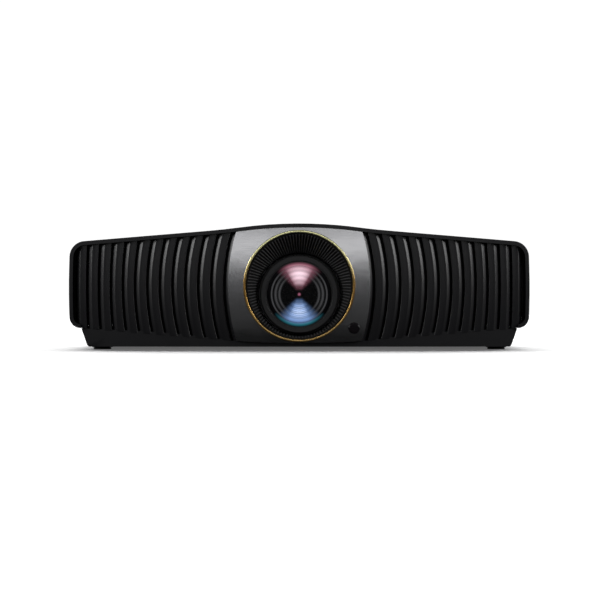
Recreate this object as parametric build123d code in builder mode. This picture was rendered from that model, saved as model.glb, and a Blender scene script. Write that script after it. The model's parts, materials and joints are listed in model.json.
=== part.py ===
"""Home cinema projector, built as separate pieces.

Frame: +Z up, the picture leaves towards -Y, origin on the surface it stands on, under the middle
of its box.
All sizes are in millimetres.
"""

from build123d import *
import math
import os

os.makedirs("parts", exist_ok=True)

# ---------------------------------------------------------------- driving dimensions: casing
casing_width = 493.4
casing_depth = 329.0
casing_height = 134.5
foot_gap = 3.0            # clear height under the base tray
wall = 2.5                # moulded wall of the cover and the tray
lip = 4.0                 # thicker rim round the cover's front opening
lip_depth = 26.0          # how far back the thick rim reaches
seam = 0.3                # gap between casing parts
part_gap = 0.4            # gap between loose internal parts

front_y = -casing_depth / 2
back_y = casing_depth / 2
half_width = casing_width / 2

# front view outline of the casing: a crest over the lens, two falling shoulders, bulged sides
crest_slope, shoulder_slope, side_slope = 0.13, 0.08, 0.03
crest_radius, crest_blend_radius, side_radius = 480.0, 760.0, 800.0
crest_blend_x = 81.0
upper_corner_radius, lower_corner_radius = 17.0, 12.0
side_mid_z = 66.0
lower_corner_z = 23.3
lower_knee_x, lower_knee_z, lower_knee_radius = half_width - 96.7, 19.3, 700.0
lower_flat_x, lower_flat_z, lower_flat_radius = 50.0, 7.2, 500.0

# the front is a shallow dish turned outwards: one radius in plan, one in side view
front_plan_radius, front_side_radius = 1500.0, 700.0
front_apex_z = 66.0

rear_round = 8.0
parting_z = 24.0          # top of the base tray behind the front
tray_bottom_half, tray_top_half = half_width - 19.9, half_width - 12.7
tray_corner_radius = 3.5
tray_setback = 4.0        # base tray front behind the casing front
tray_floor_z = foot_gap + wall

# ---------------------------------------------------------------- lens opening
ring_z = 67.7
ring_radius, ring_width, ring_depth = 59.7, 2.5, 7.5
panel_setback, panel_thickness, panel_return = 0.5, 3.0, 9.0
panel_half, panel_edge_radius = ring_radius + 16.0, 200.0
lens_z = 59.0
funnel_mouth_y, funnel_throat_y = front_y + 3.0, front_y + 21.5
funnel_wall, funnel_collar, funnel_flange = 1.8, 4.0, 1.6
ir_x, ir_z, ir_radius = 58.4, 23.0, 6.0

# ---------------------------------------------------------------- grilles
slat_count = 13
slat_gap = 2.4
slat_taper = 0.08                         # how fast the slats get narrower towards the side
first_slat_trim = 2.6                     # the slat beside the lens panel is this much narrower
slat_first_x = panel_half + slat_gap / 2  # middle of the gap beside the lens panel
slat_last_x = half_width - 7.2            # middle of the gap beside the cover's rim
slat_arc_z = 68.0
slat_arc_radius, slat_arc_growth = 207.0, 6.0
grille_setback, grille_depth, grille_rim = 3.5, 14.0, 1.8
brace_setback, brace_height = 10.0, 3.0
brace_heights = (42.0, 92.0)

# ---------------------------------------------------------------- feet
foot_x, foot_y = half_width - 34.7, front_y + 43.5
foot_radius, foot_thickness = 11.0, 6.8
pad_radius, pad_thickness, pad_round = 9.5, 2.0, 0.8
stem_radius, stem_height = 3.0, 3.0
stud_radius, stud_length, running_clearance = 3.9, 19.0, 0.08
rear_foot_x, rear_foot_y = half_width - 46.7, back_y - 34.5

# ---------------------------------------------------------------- lens and its shift stage
shift_side, shift_up, throat_clearance = 1.9, 2.8, 0.4       # travel each way
cell_radius, cell_front_y, cell_length = 41.2, front_y + 14.5, 24.0
throat_radius = cell_radius + math.hypot(shift_side, shift_up) + throat_clearance
focus_travel = 2.5                                           # travel each way
barrel_radius, barrel_bore = 36.0, 33.0
barrel_front_y, barrel_back_y = cell_front_y + 16.0, front_y + 114.5
glass_radius, glass_thickness = 30.5, 11.0
control_ring_radius = 43.5
focus_ring_y, focus_ring_width = cell_front_y + cell_length + focus_travel + 0.5, 14.0
zoom_ring_y, zoom_ring_width = focus_ring_y + focus_ring_width + 5.0, 12.0
zoom_lever_radius = 53.0
zoom_cell_y, zoom_cell_length = cell_front_y + 45.0, 20.0
carriage_thickness, carriage_gap = 9.0, 1.0
carriage_front_y = front_y + 84.5
bearing_clearance = 0.08
rod_radius, upright_radius = 3.0, 2.5
upright_x = barrel_radius + upright_radius + 1.5
screw_radius, dial_radius = 2.5, 8.0

# ---------------------------------------------------------------- openings in the cover
door_half, door_front_y = 54.4, front_y + 25.0
hinge_y, hinge_z = front_y + 120.5, casing_height - 8.0
door_tail_radius, door_seam = 16.0, 0.6
hinge_pin_radius = 1.5
lamp_door_y, lamp_door_z, lamp_door_length, lamp_door_height = 52.0, 66.0, 100.0, 56.0
keypad_y, keypad_z, keypad_length, keypad_height = 82.0, 67.0, 60.0, 36.0
io_x, io_z, io_length, io_height = 47.5, 47.0, 335.0, 36.0
button_radius, button_pitch, button_clearance, button_travel = 3.6, 11.0, 0.2, 1.0
vent_count, vent_pitch, vent_width, vent_height = 12, 8.0, 3.0, 48.0
vent_y, vent_z = -34.0, 68.0

# ---------------------------------------------------------------- fasteners
post_rows = (front_y + 64.5, 12.0, back_y - 16.5)
post_places = [(x, y) for x in (31.7 - half_width, half_width - 31.7) for y in post_rows]
post_radius, screw_shank, screw_head = 5.0, 1.45, 3.2
mount_spacing_x, mount_spacing_y = 220.0, 180.0
insert_radius, insert_bore, insert_length = 3.5, 2.0, 9.0

# ---------------------------------------------------------------- light path and electronics
light_y, light_z = 52.0, lens_z
board_thickness = 1.6
engine_front_y, engine_back_y, engine_half, engine_wall = barrel_back_y + 3.0, 70.0, 50.0, 3.0
fan_x, fan_z, fan_size, fan_depth = 150.0, 62.0, 80.0, 25.0
fan_front_y = front_y + 38.0
fan_bore, fan_tip_clearance, fan_hub, blade_count = 38.0, 1.0, 16.0, 7
lamp_outer_x, lamp_length, lamp_size = half_width - 27.0, 66.0, 56.0
io_board_z = 31.0

far = 600.0               # longer than anything, for cutting tools


def save(piece, name):
    """Label a finished piece and write it as its own STEP file."""
    piece.part.label = name
    export_step(piece.part, f"parts/{name}.step")


def facing(y):
    """Upright plane at this y, its x along +X and its y along +Z. Extrusions grow towards -Y."""
    return Plane.XZ.offset(-y)


def disc(radius, y_front, y_back, x=0.0, z=lens_z, mode=Mode.ADD):
    """Round slab along Y in the current part."""
    with Locations(Location((x, (y_front + y_back) / 2, z), (90, 0, 0))):
        Cylinder(radius, y_back - y_front, mode=mode)


def block(x_range, y_range, z_range, mode=Mode.ADD):
    """Box between two corners in the current part."""
    (x0, x1), (y0, y1), (z0, z1) = x_range, y_range, z_range
    with Locations(((x0 + x1) / 2, (y0 + y1) / 2, (z0 + z1) / 2)):
        Box(abs(x1 - x0), abs(y1 - y0), abs(z1 - z0), mode=mode)


def rod(radius, start, end, mode=Mode.ADD):
    """Round bar between two points in the current part."""
    direction = Vector(*end) - Vector(*start)
    with Locations(Plane(start, z_dir=direction).location):
        Cylinder(radius, direction.length, align=(Align.CENTER, Align.CENTER, Align.MIN), mode=mode)


def casing_outline(top_in=0.0, side_in=0.0, low_in=0.0):
    """Face of the casing's front outline, with its top, sides and underside moved inwards."""
    apex_z = casing_height + crest_radius * (math.hypot(1, crest_slope) - 1)
    blend_z = apex_z - crest_slope * crest_blend_x
    side_x = half_width + side_radius * (math.hypot(1, side_slope) - 1)
    corner_z = blend_z - shoulder_slope * (half_width - crest_blend_x)
    upper_x = side_x - side_slope * (corner_z - side_mid_z)
    lower_x = side_x - side_slope * (side_mid_z - lower_corner_z)
    right = [
        (crest_blend_x, blend_z - top_in),
        (upper_x - side_in, corner_z - top_in),
        (side_x - side_in, side_mid_z),
        (lower_x - side_in, lower_corner_z + low_in),
        (lower_knee_x, lower_knee_z + low_in),
        (lower_flat_x, lower_flat_z + low_in),
    ]
    radii = [
        crest_blend_radius,
        upper_corner_radius - side_in,
        side_radius,
        lower_corner_radius - side_in,
        lower_knee_radius,
        lower_flat_radius,
    ]
    left = [(-x, z) for x, z in right]
    with BuildLine() as line:
        FilletPolyline(
            (0, apex_z - top_in), *left, *reversed(right),
            radius=[crest_radius, *radii, *reversed(radii)], close=True,
        )
    return Face(line.wire())


def front_body(inset):
    """Everything behind the curved front, set back by inset."""
    reach_z, half_turn, reach_back = 105.0, 18.0, 400.0
    axis_y = front_y + front_plan_radius
    front_r = front_plan_radius - inset
    end_r = front_r - (front_side_radius - math.sqrt(front_side_radius**2 - reach_z**2))
    back_r = front_r - reach_back
    turn = math.radians(half_turn)
    out = Vector(-math.sin(turn), -math.cos(turn), 0)
    with BuildPart() as body:
        with BuildSketch(Plane((0, axis_y, front_apex_z), x_dir=out, z_dir=(out.Y, -out.X, 0))):
            with BuildLine():
                Bezier((end_r, -reach_z), (2 * front_r - end_r, 0), (end_r, reach_z))
                Polyline((end_r, reach_z), (back_r, reach_z), (back_r, -reach_z), (end_r, -reach_z))
            make_face()
        revolve(axis=Axis((0, axis_y, 0), (0, 0, 1)), revolution_arc=2 * half_turn)
    return body.part


def band(x_inner, r_inner, x_outer, r_outer):
    """Upright strip between two arcs that bulge away from the lens, placed where they cross slat_arc_z."""
    reach = 90.0

    def end_x(x, r):
        return x - math.copysign(abs(r) - math.sqrt(r**2 - reach**2), r)

    low, high = slat_arc_z - reach, slat_arc_z + reach
    a, b = end_x(x_inner, r_inner), end_x(x_outer, r_outer)
    with BuildLine() as line:
        Line((a, low), (b, low))
        ThreePointArc((b, low), (x_outer, slat_arc_z), (b, high))
        Line((b, high), (a, high))
        ThreePointArc((a, high), (x_inner, slat_arc_z), (a, low))
    return Face(line.wire())


def insert_outline(rim=0.0):
    """Face that fills the cover's front opening down to the base tray, less a rim."""
    inset = lip + seam + rim
    with BuildSketch() as insert:
        add(casing_outline(inset, inset, rim))
        Rectangle(2 * (tray_top_half - rim), far, mode=Mode.INTERSECT)
        add(casing_outline(inset, inset, inset))
    return insert.sketch


whole_front = front_body(0)

# ---------------------------------------------------------------- top cover
with BuildPart() as cover_posts:
    with Locations(*[(x, y, 0) for x, y in post_places]):
        Cylinder(post_radius, casing_height, align=(Align.CENTER, Align.CENTER, Align.MIN))
        Cylinder(screw_shank + 0.05, parting_z + 12, align=(Align.CENTER, Align.CENTER, Align.MIN),
                 mode=Mode.SUBTRACT)
    with Locations(*[(s * (door_half + 4), hinge_y, hinge_z + 3) for s in (-1, 1)]):
        Box(4, 9, 13)
    with Locations(Location((0, hinge_y, hinge_z), (0, 90, 0))):
        Cylinder(hinge_pin_radius, 2 * door_half + 30, mode=Mode.SUBTRACT)

with BuildPart() as cover_cavity:
    with BuildSketch(facing(back_y - wall)):
        add(casing_outline(wall, wall, wall))
    extrude(amount=casing_depth - lip_depth)
    fillet(cover_cavity.edges().group_by(Axis.Y)[-1], radius=rear_round - wall)
    with BuildSketch(facing(front_y + 60)):
        add(casing_outline(lip, lip, lip))
    extrude(amount=80)
    # no floor inside: the base tray closes the underside
    block((-tray_top_half - part_gap, tray_top_half + part_gap), (-far, back_y - wall), (0, parting_z + 10))
    add(cover_posts.part, mode=Mode.SUBTRACT)

with BuildPart() as top_cover:
    with BuildSketch(facing(back_y)):
        add(casing_outline())
    extrude(amount=casing_depth + 20)
    fillet(top_cover.edges().group_by(Axis.Y)[-1], radius=rear_round)
    add(whole_front, mode=Mode.INTERSECT)
    add(cover_cavity.part, mode=Mode.SUBTRACT)
    block((-tray_top_half - part_gap, tray_top_half + part_gap), (-far, far), (-far, parting_z),
          mode=Mode.SUBTRACT)
    # opening over the lens controls, with a round rear edge that the door's tail turns in
    opening_half = door_half + door_seam
    block((-opening_half, opening_half), (door_front_y - door_seam, hinge_y), (hinge_z - 12, far),
          mode=Mode.SUBTRACT)
    rod(door_tail_radius + door_seam, (-opening_half, hinge_y, hinge_z), (opening_half, hinge_y, hinge_z),
        mode=Mode.SUBTRACT)
    # windows for the lamp door and the keypad, exhaust slots on the right, connector window at the back
    with Locations((-half_width, lamp_door_y, lamp_door_z)):
        Box(20, lamp_door_length, lamp_door_height, mode=Mode.SUBTRACT)
    with Locations((half_width, keypad_y, keypad_z)):
        Box(16, keypad_length, keypad_height, mode=Mode.SUBTRACT)
    with Locations((half_width, vent_y, vent_z)):
        with GridLocations(0, vent_pitch, 1, vent_count):
            Box(12, vent_width, vent_height, mode=Mode.SUBTRACT)
    with Locations((io_x, back_y, io_z)):
        Box(io_length, 12, io_height, mode=Mode.SUBTRACT)
save(top_cover, "top_cover")

# ---------------------------------------------------------------- base tray
tray_lean = (tray_top_half - tray_bottom_half) / (parting_z - seam - foot_gap)
screw_foot_z = pad_thickness + 0.2
stud_top = screw_foot_z + foot_thickness + stud_length
pocket_radius, pocket_top = foot_radius + 1.0, screw_foot_z + foot_thickness + 1.0
slot_rows = ((-80.0, 20.0), (150.0, 0.0))

with BuildPart() as tray_cavity:
    cavity_bottom_half = tray_bottom_half + tray_lean * wall - wall
    cavity_top_half = cavity_bottom_half + tray_lean * parting_z
    with BuildSketch(facing(back_y - 1.0 - wall)):
        with BuildLine():
            Polyline((-cavity_bottom_half, tray_floor_z), (cavity_bottom_half, tray_floor_z),
                     (cavity_top_half, tray_floor_z + parting_z),
                     (-cavity_top_half, tray_floor_z + parting_z), close=True)
        make_face()
    extrude(amount=casing_depth)
    add(front_body(tray_setback + wall), mode=Mode.INTERSECT)

with BuildPart() as base_tray:
    with BuildSketch(facing(back_y - 1.0)):
        with BuildLine():
            FilletPolyline(
                (-tray_bottom_half, foot_gap), (tray_bottom_half, foot_gap),
                (tray_top_half, parting_z - seam), (-tray_top_half, parting_z - seam),
                radius=[tray_corner_radius, tray_corner_radius, 0, 0], close=True,
            )
        make_face()
    extrude(amount=casing_depth)
    add(front_body(tray_setback), mode=Mode.INTERSECT)
    add(tray_cavity.part, mode=Mode.SUBTRACT)
    # the front wall drops to the underside line of the lens panel and grilles
    with BuildSketch(facing(front_y + grille_setback + grille_depth + 25)):
        add(casing_outline(0, 0, -seam))
    extrude(amount=80, mode=Mode.SUBTRACT)
    # screw bosses, foot pockets with threaded towers, ceiling-mount bosses
    with Locations(*[(x, y, foot_gap) for x, y in post_places]):
        Cylinder(post_radius + 1.2, parting_z - seam - foot_gap,
                 align=(Align.CENTER, Align.CENTER, Align.MIN))
    with Locations((-foot_x, foot_y, foot_gap), (foot_x, foot_y, foot_gap)):
        Cylinder(pocket_radius + wall, pocket_top + wall - foot_gap,
                 align=(Align.CENTER, Align.CENTER, Align.MIN))
        Cylinder(stud_radius + 3.2, stud_top + 1 - foot_gap,
                 align=(Align.CENTER, Align.CENTER, Align.MIN))
    with Locations((0, 0, foot_gap)):
        with GridLocations(mount_spacing_x, mount_spacing_y, 2, 2):
            Cylinder(insert_radius + 2.5, insert_length + 1.5,
                     align=(Align.CENTER, Align.CENTER, Align.MIN))
    with Locations(*[(x, y, 0) for x, y in post_places]):
        Cylinder(screw_shank + 0.25, 2 * parting_z, mode=Mode.SUBTRACT)
        Cylinder(screw_head + 0.3, 2 * (foot_gap + 4), mode=Mode.SUBTRACT)
    with Locations((-foot_x, foot_y, 0), (foot_x, foot_y, 0)):
        Cylinder(pocket_radius, 2 * pocket_top, mode=Mode.SUBTRACT)
        Cylinder(stud_radius + running_clearance, 4 * stud_top, mode=Mode.SUBTRACT)
    with GridLocations(mount_spacing_x, mount_spacing_y, 2, 2):
        Cylinder(insert_radius + 0.02, 2 * (foot_gap + insert_length), mode=Mode.SUBTRACT)
    with Locations((-rear_foot_x, rear_foot_y, 0), (rear_foot_x, rear_foot_y, 0)):
        Cylinder(stem_radius + 0.05, 4 * tray_floor_z, mode=Mode.SUBTRACT)
    # air slots in the floor under the light engine and the power supply
    with Locations(*[(x, y, foot_gap) for x, y in slot_rows]):
        with GridLocations(6, 0, 10, 1):
            Box(2.5, 60, 3 * wall, mode=Mode.SUBTRACT)
save(base_tray, "base_tray")

with BuildPart() as ceiling_mount_inserts:
    with Locations((0, 0, foot_gap)):
        with GridLocations(mount_spacing_x, mount_spacing_y, 2, 2):
            Cylinder(insert_radius, insert_length, align=(Align.CENTER, Align.CENTER, Align.MIN))
            Cylinder(insert_bore, 3 * insert_length, mode=Mode.SUBTRACT)
save(ceiling_mount_inserts, "ceiling_mount_inserts")

screw_head_z, screw_head_height = foot_gap + 1.4, 2.6
with BuildPart() as casing_screws:
    with Locations(*[(x, y, screw_head_z) for x, y in post_places]):
        Cylinder(screw_head, screw_head_height, align=(Align.CENTER, Align.CENTER, Align.MIN))
        Cylinder(screw_shank, parting_z + 4, align=(Align.CENTER, Align.CENTER, Align.MIN))
        Box(3.6, 0.7, 2.4, mode=Mode.SUBTRACT)
        Box(0.7, 3.6, 2.4, mode=Mode.SUBTRACT)
save(casing_screws, "casing_screws")

# ---------------------------------------------------------------- feet
for side, x in (("left", -foot_x), ("right", foot_x)):
    with BuildPart() as foot_pad:
        with Locations((x, foot_y, 0)):
            Cylinder(pad_radius, pad_thickness, align=(Align.CENTER, Align.CENTER, Align.MIN))
            Cylinder(stem_radius, pad_thickness + stem_height,
                     align=(Align.CENTER, Align.CENTER, Align.MIN))
        fillet(foot_pad.edges().group_by(Axis.Z)[0], radius=pad_round)
    save(foot_pad, f"{side}_foot_pad")

    with BuildPart() as foot_screw:
        with Locations((x, foot_y, screw_foot_z)):
            Cylinder(foot_radius, foot_thickness, align=(Align.CENTER, Align.CENTER, Align.MIN))
            Cylinder(stud_radius, foot_thickness + stud_length,
                     align=(Align.CENTER, Align.CENTER, Align.MIN))
            Cylinder(stem_radius + running_clearance, 2 * (stem_height + 0.4), mode=Mode.SUBTRACT)
            with PolarLocations(foot_radius + 0.6, 18):
                Cylinder(1.0, 3 * foot_thickness, mode=Mode.SUBTRACT)
    save(foot_screw, f"{side}_foot_screw")

with BuildPart() as rear_feet:
    with Locations((-rear_foot_x, rear_foot_y, 0), (rear_foot_x, rear_foot_y, 0)):
        Cylinder(pad_radius, foot_gap, align=(Align.CENTER, Align.CENTER, Align.MIN))
        Cylinder(stem_radius, tray_floor_z, align=(Align.CENTER, Align.CENTER, Align.MIN))
    fillet(rear_feet.edges().group_by(Axis.Z)[0], radius=pad_round)
save(rear_feet, "rear_feet")

# ---------------------------------------------------------------- lens panel, ring, funnel, remote window
insert_depth = 45.0
ring_bore = ring_radius - ring_width
mouth_radius = ring_bore - 0.2
flange_radius = ring_radius + 0.5
board_front_y = front_y + 10.5

panel_edge = 1.5          # thickness of the lens panel's returned edge
insert_face = insert_outline()
panel_core_face = insert_outline(panel_edge)
grille_core_face = insert_outline(grille_rim)

with BuildPart() as panel_hollow:
    with BuildSketch(facing(front_y + insert_depth)):
        add(panel_core_face)
        add(band(panel_edge - panel_half, -panel_edge_radius, panel_half - panel_edge, panel_edge_radius),
            mode=Mode.INTERSECT)
    extrude(amount=2 * insert_depth)
    add(front_body(panel_setback + panel_thickness), mode=Mode.INTERSECT)

with BuildPart() as lens_panel:
    with BuildSketch(facing(front_y + insert_depth)):
        add(insert_face)
        add(band(-panel_half, -panel_edge_radius, panel_half, panel_edge_radius), mode=Mode.INTERSECT)
    extrude(amount=2 * insert_depth)
    add(front_body(panel_setback), mode=Mode.INTERSECT)
    add(panel_hollow.part, mode=Mode.SUBTRACT)
    add(front_body(panel_setback + panel_return), mode=Mode.SUBTRACT)
    disc(ring_radius + 0.1, front_y - 5, front_y + insert_depth, z=ring_z, mode=Mode.SUBTRACT)
    disc(ir_radius + 0.1, front_y - 5, front_y + insert_depth, x=ir_x, z=ir_z, mode=Mode.SUBTRACT)
save(lens_panel, "lens_panel")

with BuildPart() as accent_ring:
    disc(ring_radius, front_y, front_y + ring_depth, z=ring_z)
    chamfer(accent_ring.edges().group_by(Axis.Y)[0], length=0.6)
    disc(ring_bore, front_y - 1, front_y + ring_depth, z=ring_z, mode=Mode.SUBTRACT)
save(accent_ring, "accent_ring")

funnel_flange_y = front_y + ring_depth + 0.1
with BuildPart() as funnel_bore:
    with BuildSketch(facing(funnel_mouth_y)):
        with Locations((0, ring_z)):
            Circle(mouth_radius - funnel_wall)
    with BuildSketch(facing(funnel_throat_y)):
        with Locations((0, lens_z)):
            Circle(throat_radius)
    loft()

with BuildPart() as lens_funnel:
    with BuildSketch(facing(funnel_mouth_y)):
        with Locations((0, ring_z)):
            Circle(mouth_radius)
    with BuildSketch(facing(funnel_throat_y)):
        with Locations((0, lens_z)):
            Circle(throat_radius + funnel_wall)
    loft()
    disc(flange_radius, funnel_flange_y, funnel_flange_y + funnel_flange, z=ring_z)
    block((-far, far), (funnel_flange_y - 1, funnel_flange_y + 5),
          (-far, lower_flat_z + panel_edge + part_gap), mode=Mode.SUBTRACT)
    disc(throat_radius + funnel_wall, funnel_throat_y, funnel_throat_y + funnel_collar)
    add(funnel_bore.part, mode=Mode.SUBTRACT)
    disc(throat_radius, funnel_throat_y, funnel_throat_y + funnel_collar, mode=Mode.SUBTRACT)
save(lens_funnel, "lens_funnel")

with BuildPart() as ir_window:
    disc(ir_radius, front_y + 2.2, front_y + 6.5, x=ir_x, z=ir_z)
    fillet(ir_window.edges().group_by(Axis.Y)[0], radius=0.8)
    disc(ir_radius + 1.0, front_y + 6.6, front_y + 8.0, x=ir_x, z=ir_z)
    disc(ir_radius - 1.0, front_y + 6.4, front_y + 6.7, x=ir_x, z=ir_z)
save(ir_window, "ir_window")

with BuildPart() as ir_receiver_board:
    disc(2.6, board_front_y - 1.5, board_front_y, x=ir_x, z=ir_z)
    block((ir_x - 9, ir_x + 9), (board_front_y, board_front_y + board_thickness), (ir_z - 6, ir_z + 6))
    block((ir_x - 3.2, ir_x + 3.2), (board_front_y + board_thickness, board_front_y + 4.5),
          (ir_z - 3, ir_z + 3))
save(ir_receiver_board, "ir_receiver_board")

# ---------------------------------------------------------------- grilles
slat_pitch = (slat_last_x - slat_first_x + first_slat_trim) / slat_count + slat_taper * slat_count


def gap_place(i):
    """Where gap i crosses slat_arc_z, and the radius of its curve: the curves open out towards the side."""
    x = slat_first_x - first_slat_trim * min(i, 1) + slat_pitch * i - slat_taper * i**2
    return x, slat_arc_radius * (1 + slat_arc_growth * (i / slat_count) ** 6)


grille_edge_x = panel_half + seam
with BuildPart() as gap_fronts:
    with BuildSketch(facing(front_y + insert_depth)):
        for i in range(slat_count + 1):
            x, r = gap_place(i)
            add(band(x - slat_gap / 2, r, x + slat_gap / 2, r))
    extrude(amount=2 * insert_depth)
    add(front_body(brace_setback), mode=Mode.SUBTRACT)

with BuildPart() as gap_throughs:
    with BuildSketch(facing(front_y + insert_depth)):
        for i in range(slat_count + 1):
            x, r = gap_place(i)
            add(band(x - slat_gap / 2, r, x + slat_gap / 2, r))
        add(grille_core_face, mode=Mode.INTERSECT)
        add(band(grille_edge_x + grille_rim, panel_edge_radius, far / 2, panel_edge_radius),
            mode=Mode.INTERSECT)
        with Locations(*[(half_width / 2, z) for z in brace_heights]):
            Rectangle(2 * half_width, brace_height, mode=Mode.SUBTRACT)
    extrude(amount=2 * insert_depth)

with BuildPart() as right_grille:
    with BuildSketch(facing(front_y + insert_depth)):
        add(insert_face)
        add(band(grille_edge_x, panel_edge_radius, far / 2, panel_edge_radius), mode=Mode.INTERSECT)
    extrude(amount=2 * insert_depth)
    add(front_body(grille_setback), mode=Mode.INTERSECT)
    add(front_body(grille_setback + grille_depth), mode=Mode.SUBTRACT)
    add(gap_fronts.part, mode=Mode.SUBTRACT)
    add(gap_throughs.part, mode=Mode.SUBTRACT)
save(right_grille, "right_grille")

with BuildPart() as left_grille:
    add(right_grille.part.mirror(Plane.YZ))
save(left_grille, "left_grille")

# ---------------------------------------------------------------- lens
cell_back_y = cell_front_y + cell_length
sleeve_radius, sleeve_bore, sleeve_back_y = barrel_bore - 0.2, glass_radius - 0.3, cell_front_y + 30.0
with BuildPart() as front_lens_cell:
    disc(cell_radius, cell_front_y, cell_back_y)
    chamfer(front_lens_cell.edges().group_by(Axis.Y)[0], length=0.5)
    disc(barrel_radius + 0.3, barrel_front_y - focus_travel - 1, cell_back_y, mode=Mode.SUBTRACT)
    disc(sleeve_radius, cell_front_y + 4, sleeve_back_y)
    # stepped face: outer land, groove, bright bezel
    disc(36.0, cell_front_y - 1, cell_front_y + 2.5, mode=Mode.SUBTRACT)
    disc(glass_radius + 1.0, cell_front_y + 1.5, cell_front_y + 2.5)
    disc(glass_radius + 0.1, cell_front_y - 1, cell_front_y + glass_thickness + 3, mode=Mode.SUBTRACT)
    disc(sleeve_bore, cell_front_y, sleeve_back_y, mode=Mode.SUBTRACT)
save(front_lens_cell, "front_lens_cell")

glass_y, glass_bulge = cell_front_y + glass_thickness + 3.0, 4.5
glass_rim_y = glass_y - glass_thickness + glass_bulge
glass_curve = (glass_radius**2 + glass_bulge**2) / (2 * glass_bulge)
glass_mid_y = glass_y - glass_thickness + glass_curve - math.sqrt(glass_curve**2 - glass_radius**2 / 4)
with BuildPart() as front_lens_element:
    with BuildSketch(Plane.YZ):
        with BuildLine():
            Polyline((glass_y - glass_thickness, lens_z), (glass_y, lens_z),
                     (glass_y, lens_z + glass_radius), (glass_rim_y, lens_z + glass_radius))
            ThreePointArc((glass_rim_y, lens_z + glass_radius), (glass_mid_y, lens_z + glass_radius / 2),
                          (glass_y - glass_thickness, lens_z))
        make_face()
    revolve(axis=Axis((0, 0, lens_z), (0, 1, 0)))
save(front_lens_element, "front_lens_element")

ring_bore_radius = barrel_radius + 0.1
with BuildPart() as lens_barrel:
    disc(barrel_radius, barrel_front_y, barrel_back_y)
    disc(barrel_radius + 3.5, focus_ring_y + focus_ring_width + 0.5, zoom_ring_y - 0.5)
    disc(barrel_radius + 4.0, carriage_front_y - 3.0, carriage_front_y)
    disc(barrel_bore, barrel_front_y, barrel_back_y, mode=Mode.SUBTRACT)
save(lens_barrel, "lens_barrel")


def control_ring(front, width, grip_count):
    """Gripped ring round the lens barrel, in the current part."""
    disc(control_ring_radius, front, front + width)
    disc(ring_bore_radius, front, front + width, mode=Mode.SUBTRACT)
    with Locations(Location((0, front + width / 2, lens_z), (90, 0, 0))):
        with PolarLocations(control_ring_radius + 0.4, grip_count):
            Cylinder(1.2, width - 4, mode=Mode.SUBTRACT)


with BuildPart() as focus_ring:
    control_ring(focus_ring_y, focus_ring_width, 36)
save(focus_ring, "focus_ring")

with BuildPart() as zoom_ring:
    control_ring(zoom_ring_y, zoom_ring_width, 36)
    block((-3, 3), (zoom_ring_y + 3.5, zoom_ring_y + 8.5),
          (lens_z + control_ring_radius - 2, lens_z + zoom_lever_radius))
save(zoom_ring, "zoom_ring")

zoom_glass_radius = 28.0
with BuildPart() as zoom_lens_cell:
    disc(sleeve_radius, zoom_cell_y, zoom_cell_y + zoom_cell_length)
    disc(zoom_glass_radius, zoom_cell_y, zoom_cell_y + zoom_cell_length, mode=Mode.SUBTRACT)
save(zoom_lens_cell, "zoom_lens_cell")

with BuildPart() as zoom_lens_elements:
    disc(zoom_glass_radius, zoom_cell_y + 1.0, zoom_cell_y + 7.0)
    disc(zoom_glass_radius, zoom_cell_y + 12.0, zoom_cell_y + 17.0)
save(zoom_lens_elements, "zoom_lens_elements")

with BuildPart() as rear_lens_element:
    disc(barrel_bore, barrel_back_y - 14.0, barrel_back_y - 6.0)
save(rear_lens_element, "rear_lens_element")

# ---------------------------------------------------------------- lens-shift stage
# the barrel rides in an up/down carriage, that in a sideways carriage, and that on rods in a fixed frame
up_front_y, up_back_y = carriage_front_y, carriage_front_y + carriage_thickness
side_front_y = up_back_y + carriage_gap
side_back_y = side_front_y + carriage_thickness
frame_plate_y = side_back_y + carriage_gap + 1.0
upright_y, cross_rod_y = (up_front_y + up_back_y) / 2, (side_front_y + side_back_y) / 2
up_half_x, up_half_z = upright_x + 6.5, 40.0
side_half_x = up_half_x + 3.0
cross_rod_low_z = lens_z - barrel_radius - shift_up - rod_radius - 3.5
cross_rod_high_z = lens_z + barrel_radius + shift_up + rod_radius + 3.5
flange_low_z, flange_high_z = cross_rod_low_z - 6.0, cross_rod_high_z + 6.0
nut_bore = screw_radius + bearing_clearance
up_screw_x, up_screw_y = -up_half_x - 5.0, upright_y
side_screw_z = flange_high_z + 6.0
frame_half_x = side_half_x + 20.0
frame_lug = 7.0
wheel_x = side_half_x + 5.0
small_dial_radius = cross_rod_y - screw_radius - up_screw_y - 1.0
frame_back_y = frame_plate_y + 5.0
dial_width, dial_grips, small_dial_grips, dial_grip_radius = 6.0, 20, 14, 1.0
wheel_end_x = wheel_x + dial_width

with BuildPart() as vertical_carriage:
    block((-up_half_x, up_half_x), (up_front_y, up_back_y), (lens_z - up_half_z, lens_z + up_half_z))
    block((-up_half_x - 10, -up_half_x), (up_front_y, up_back_y),
          (lens_z + up_half_z - 12, lens_z + up_half_z))
    disc(barrel_radius, up_front_y, up_back_y, mode=Mode.SUBTRACT)
    for x in (-upright_x, upright_x):
        rod(upright_radius + bearing_clearance, (x, upright_y, 0), (x, upright_y, 150), mode=Mode.SUBTRACT)
    rod(nut_bore, (up_screw_x, up_screw_y, 0), (up_screw_x, up_screw_y, 150), mode=Mode.SUBTRACT)
save(vertical_carriage, "vertical_carriage")

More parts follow.
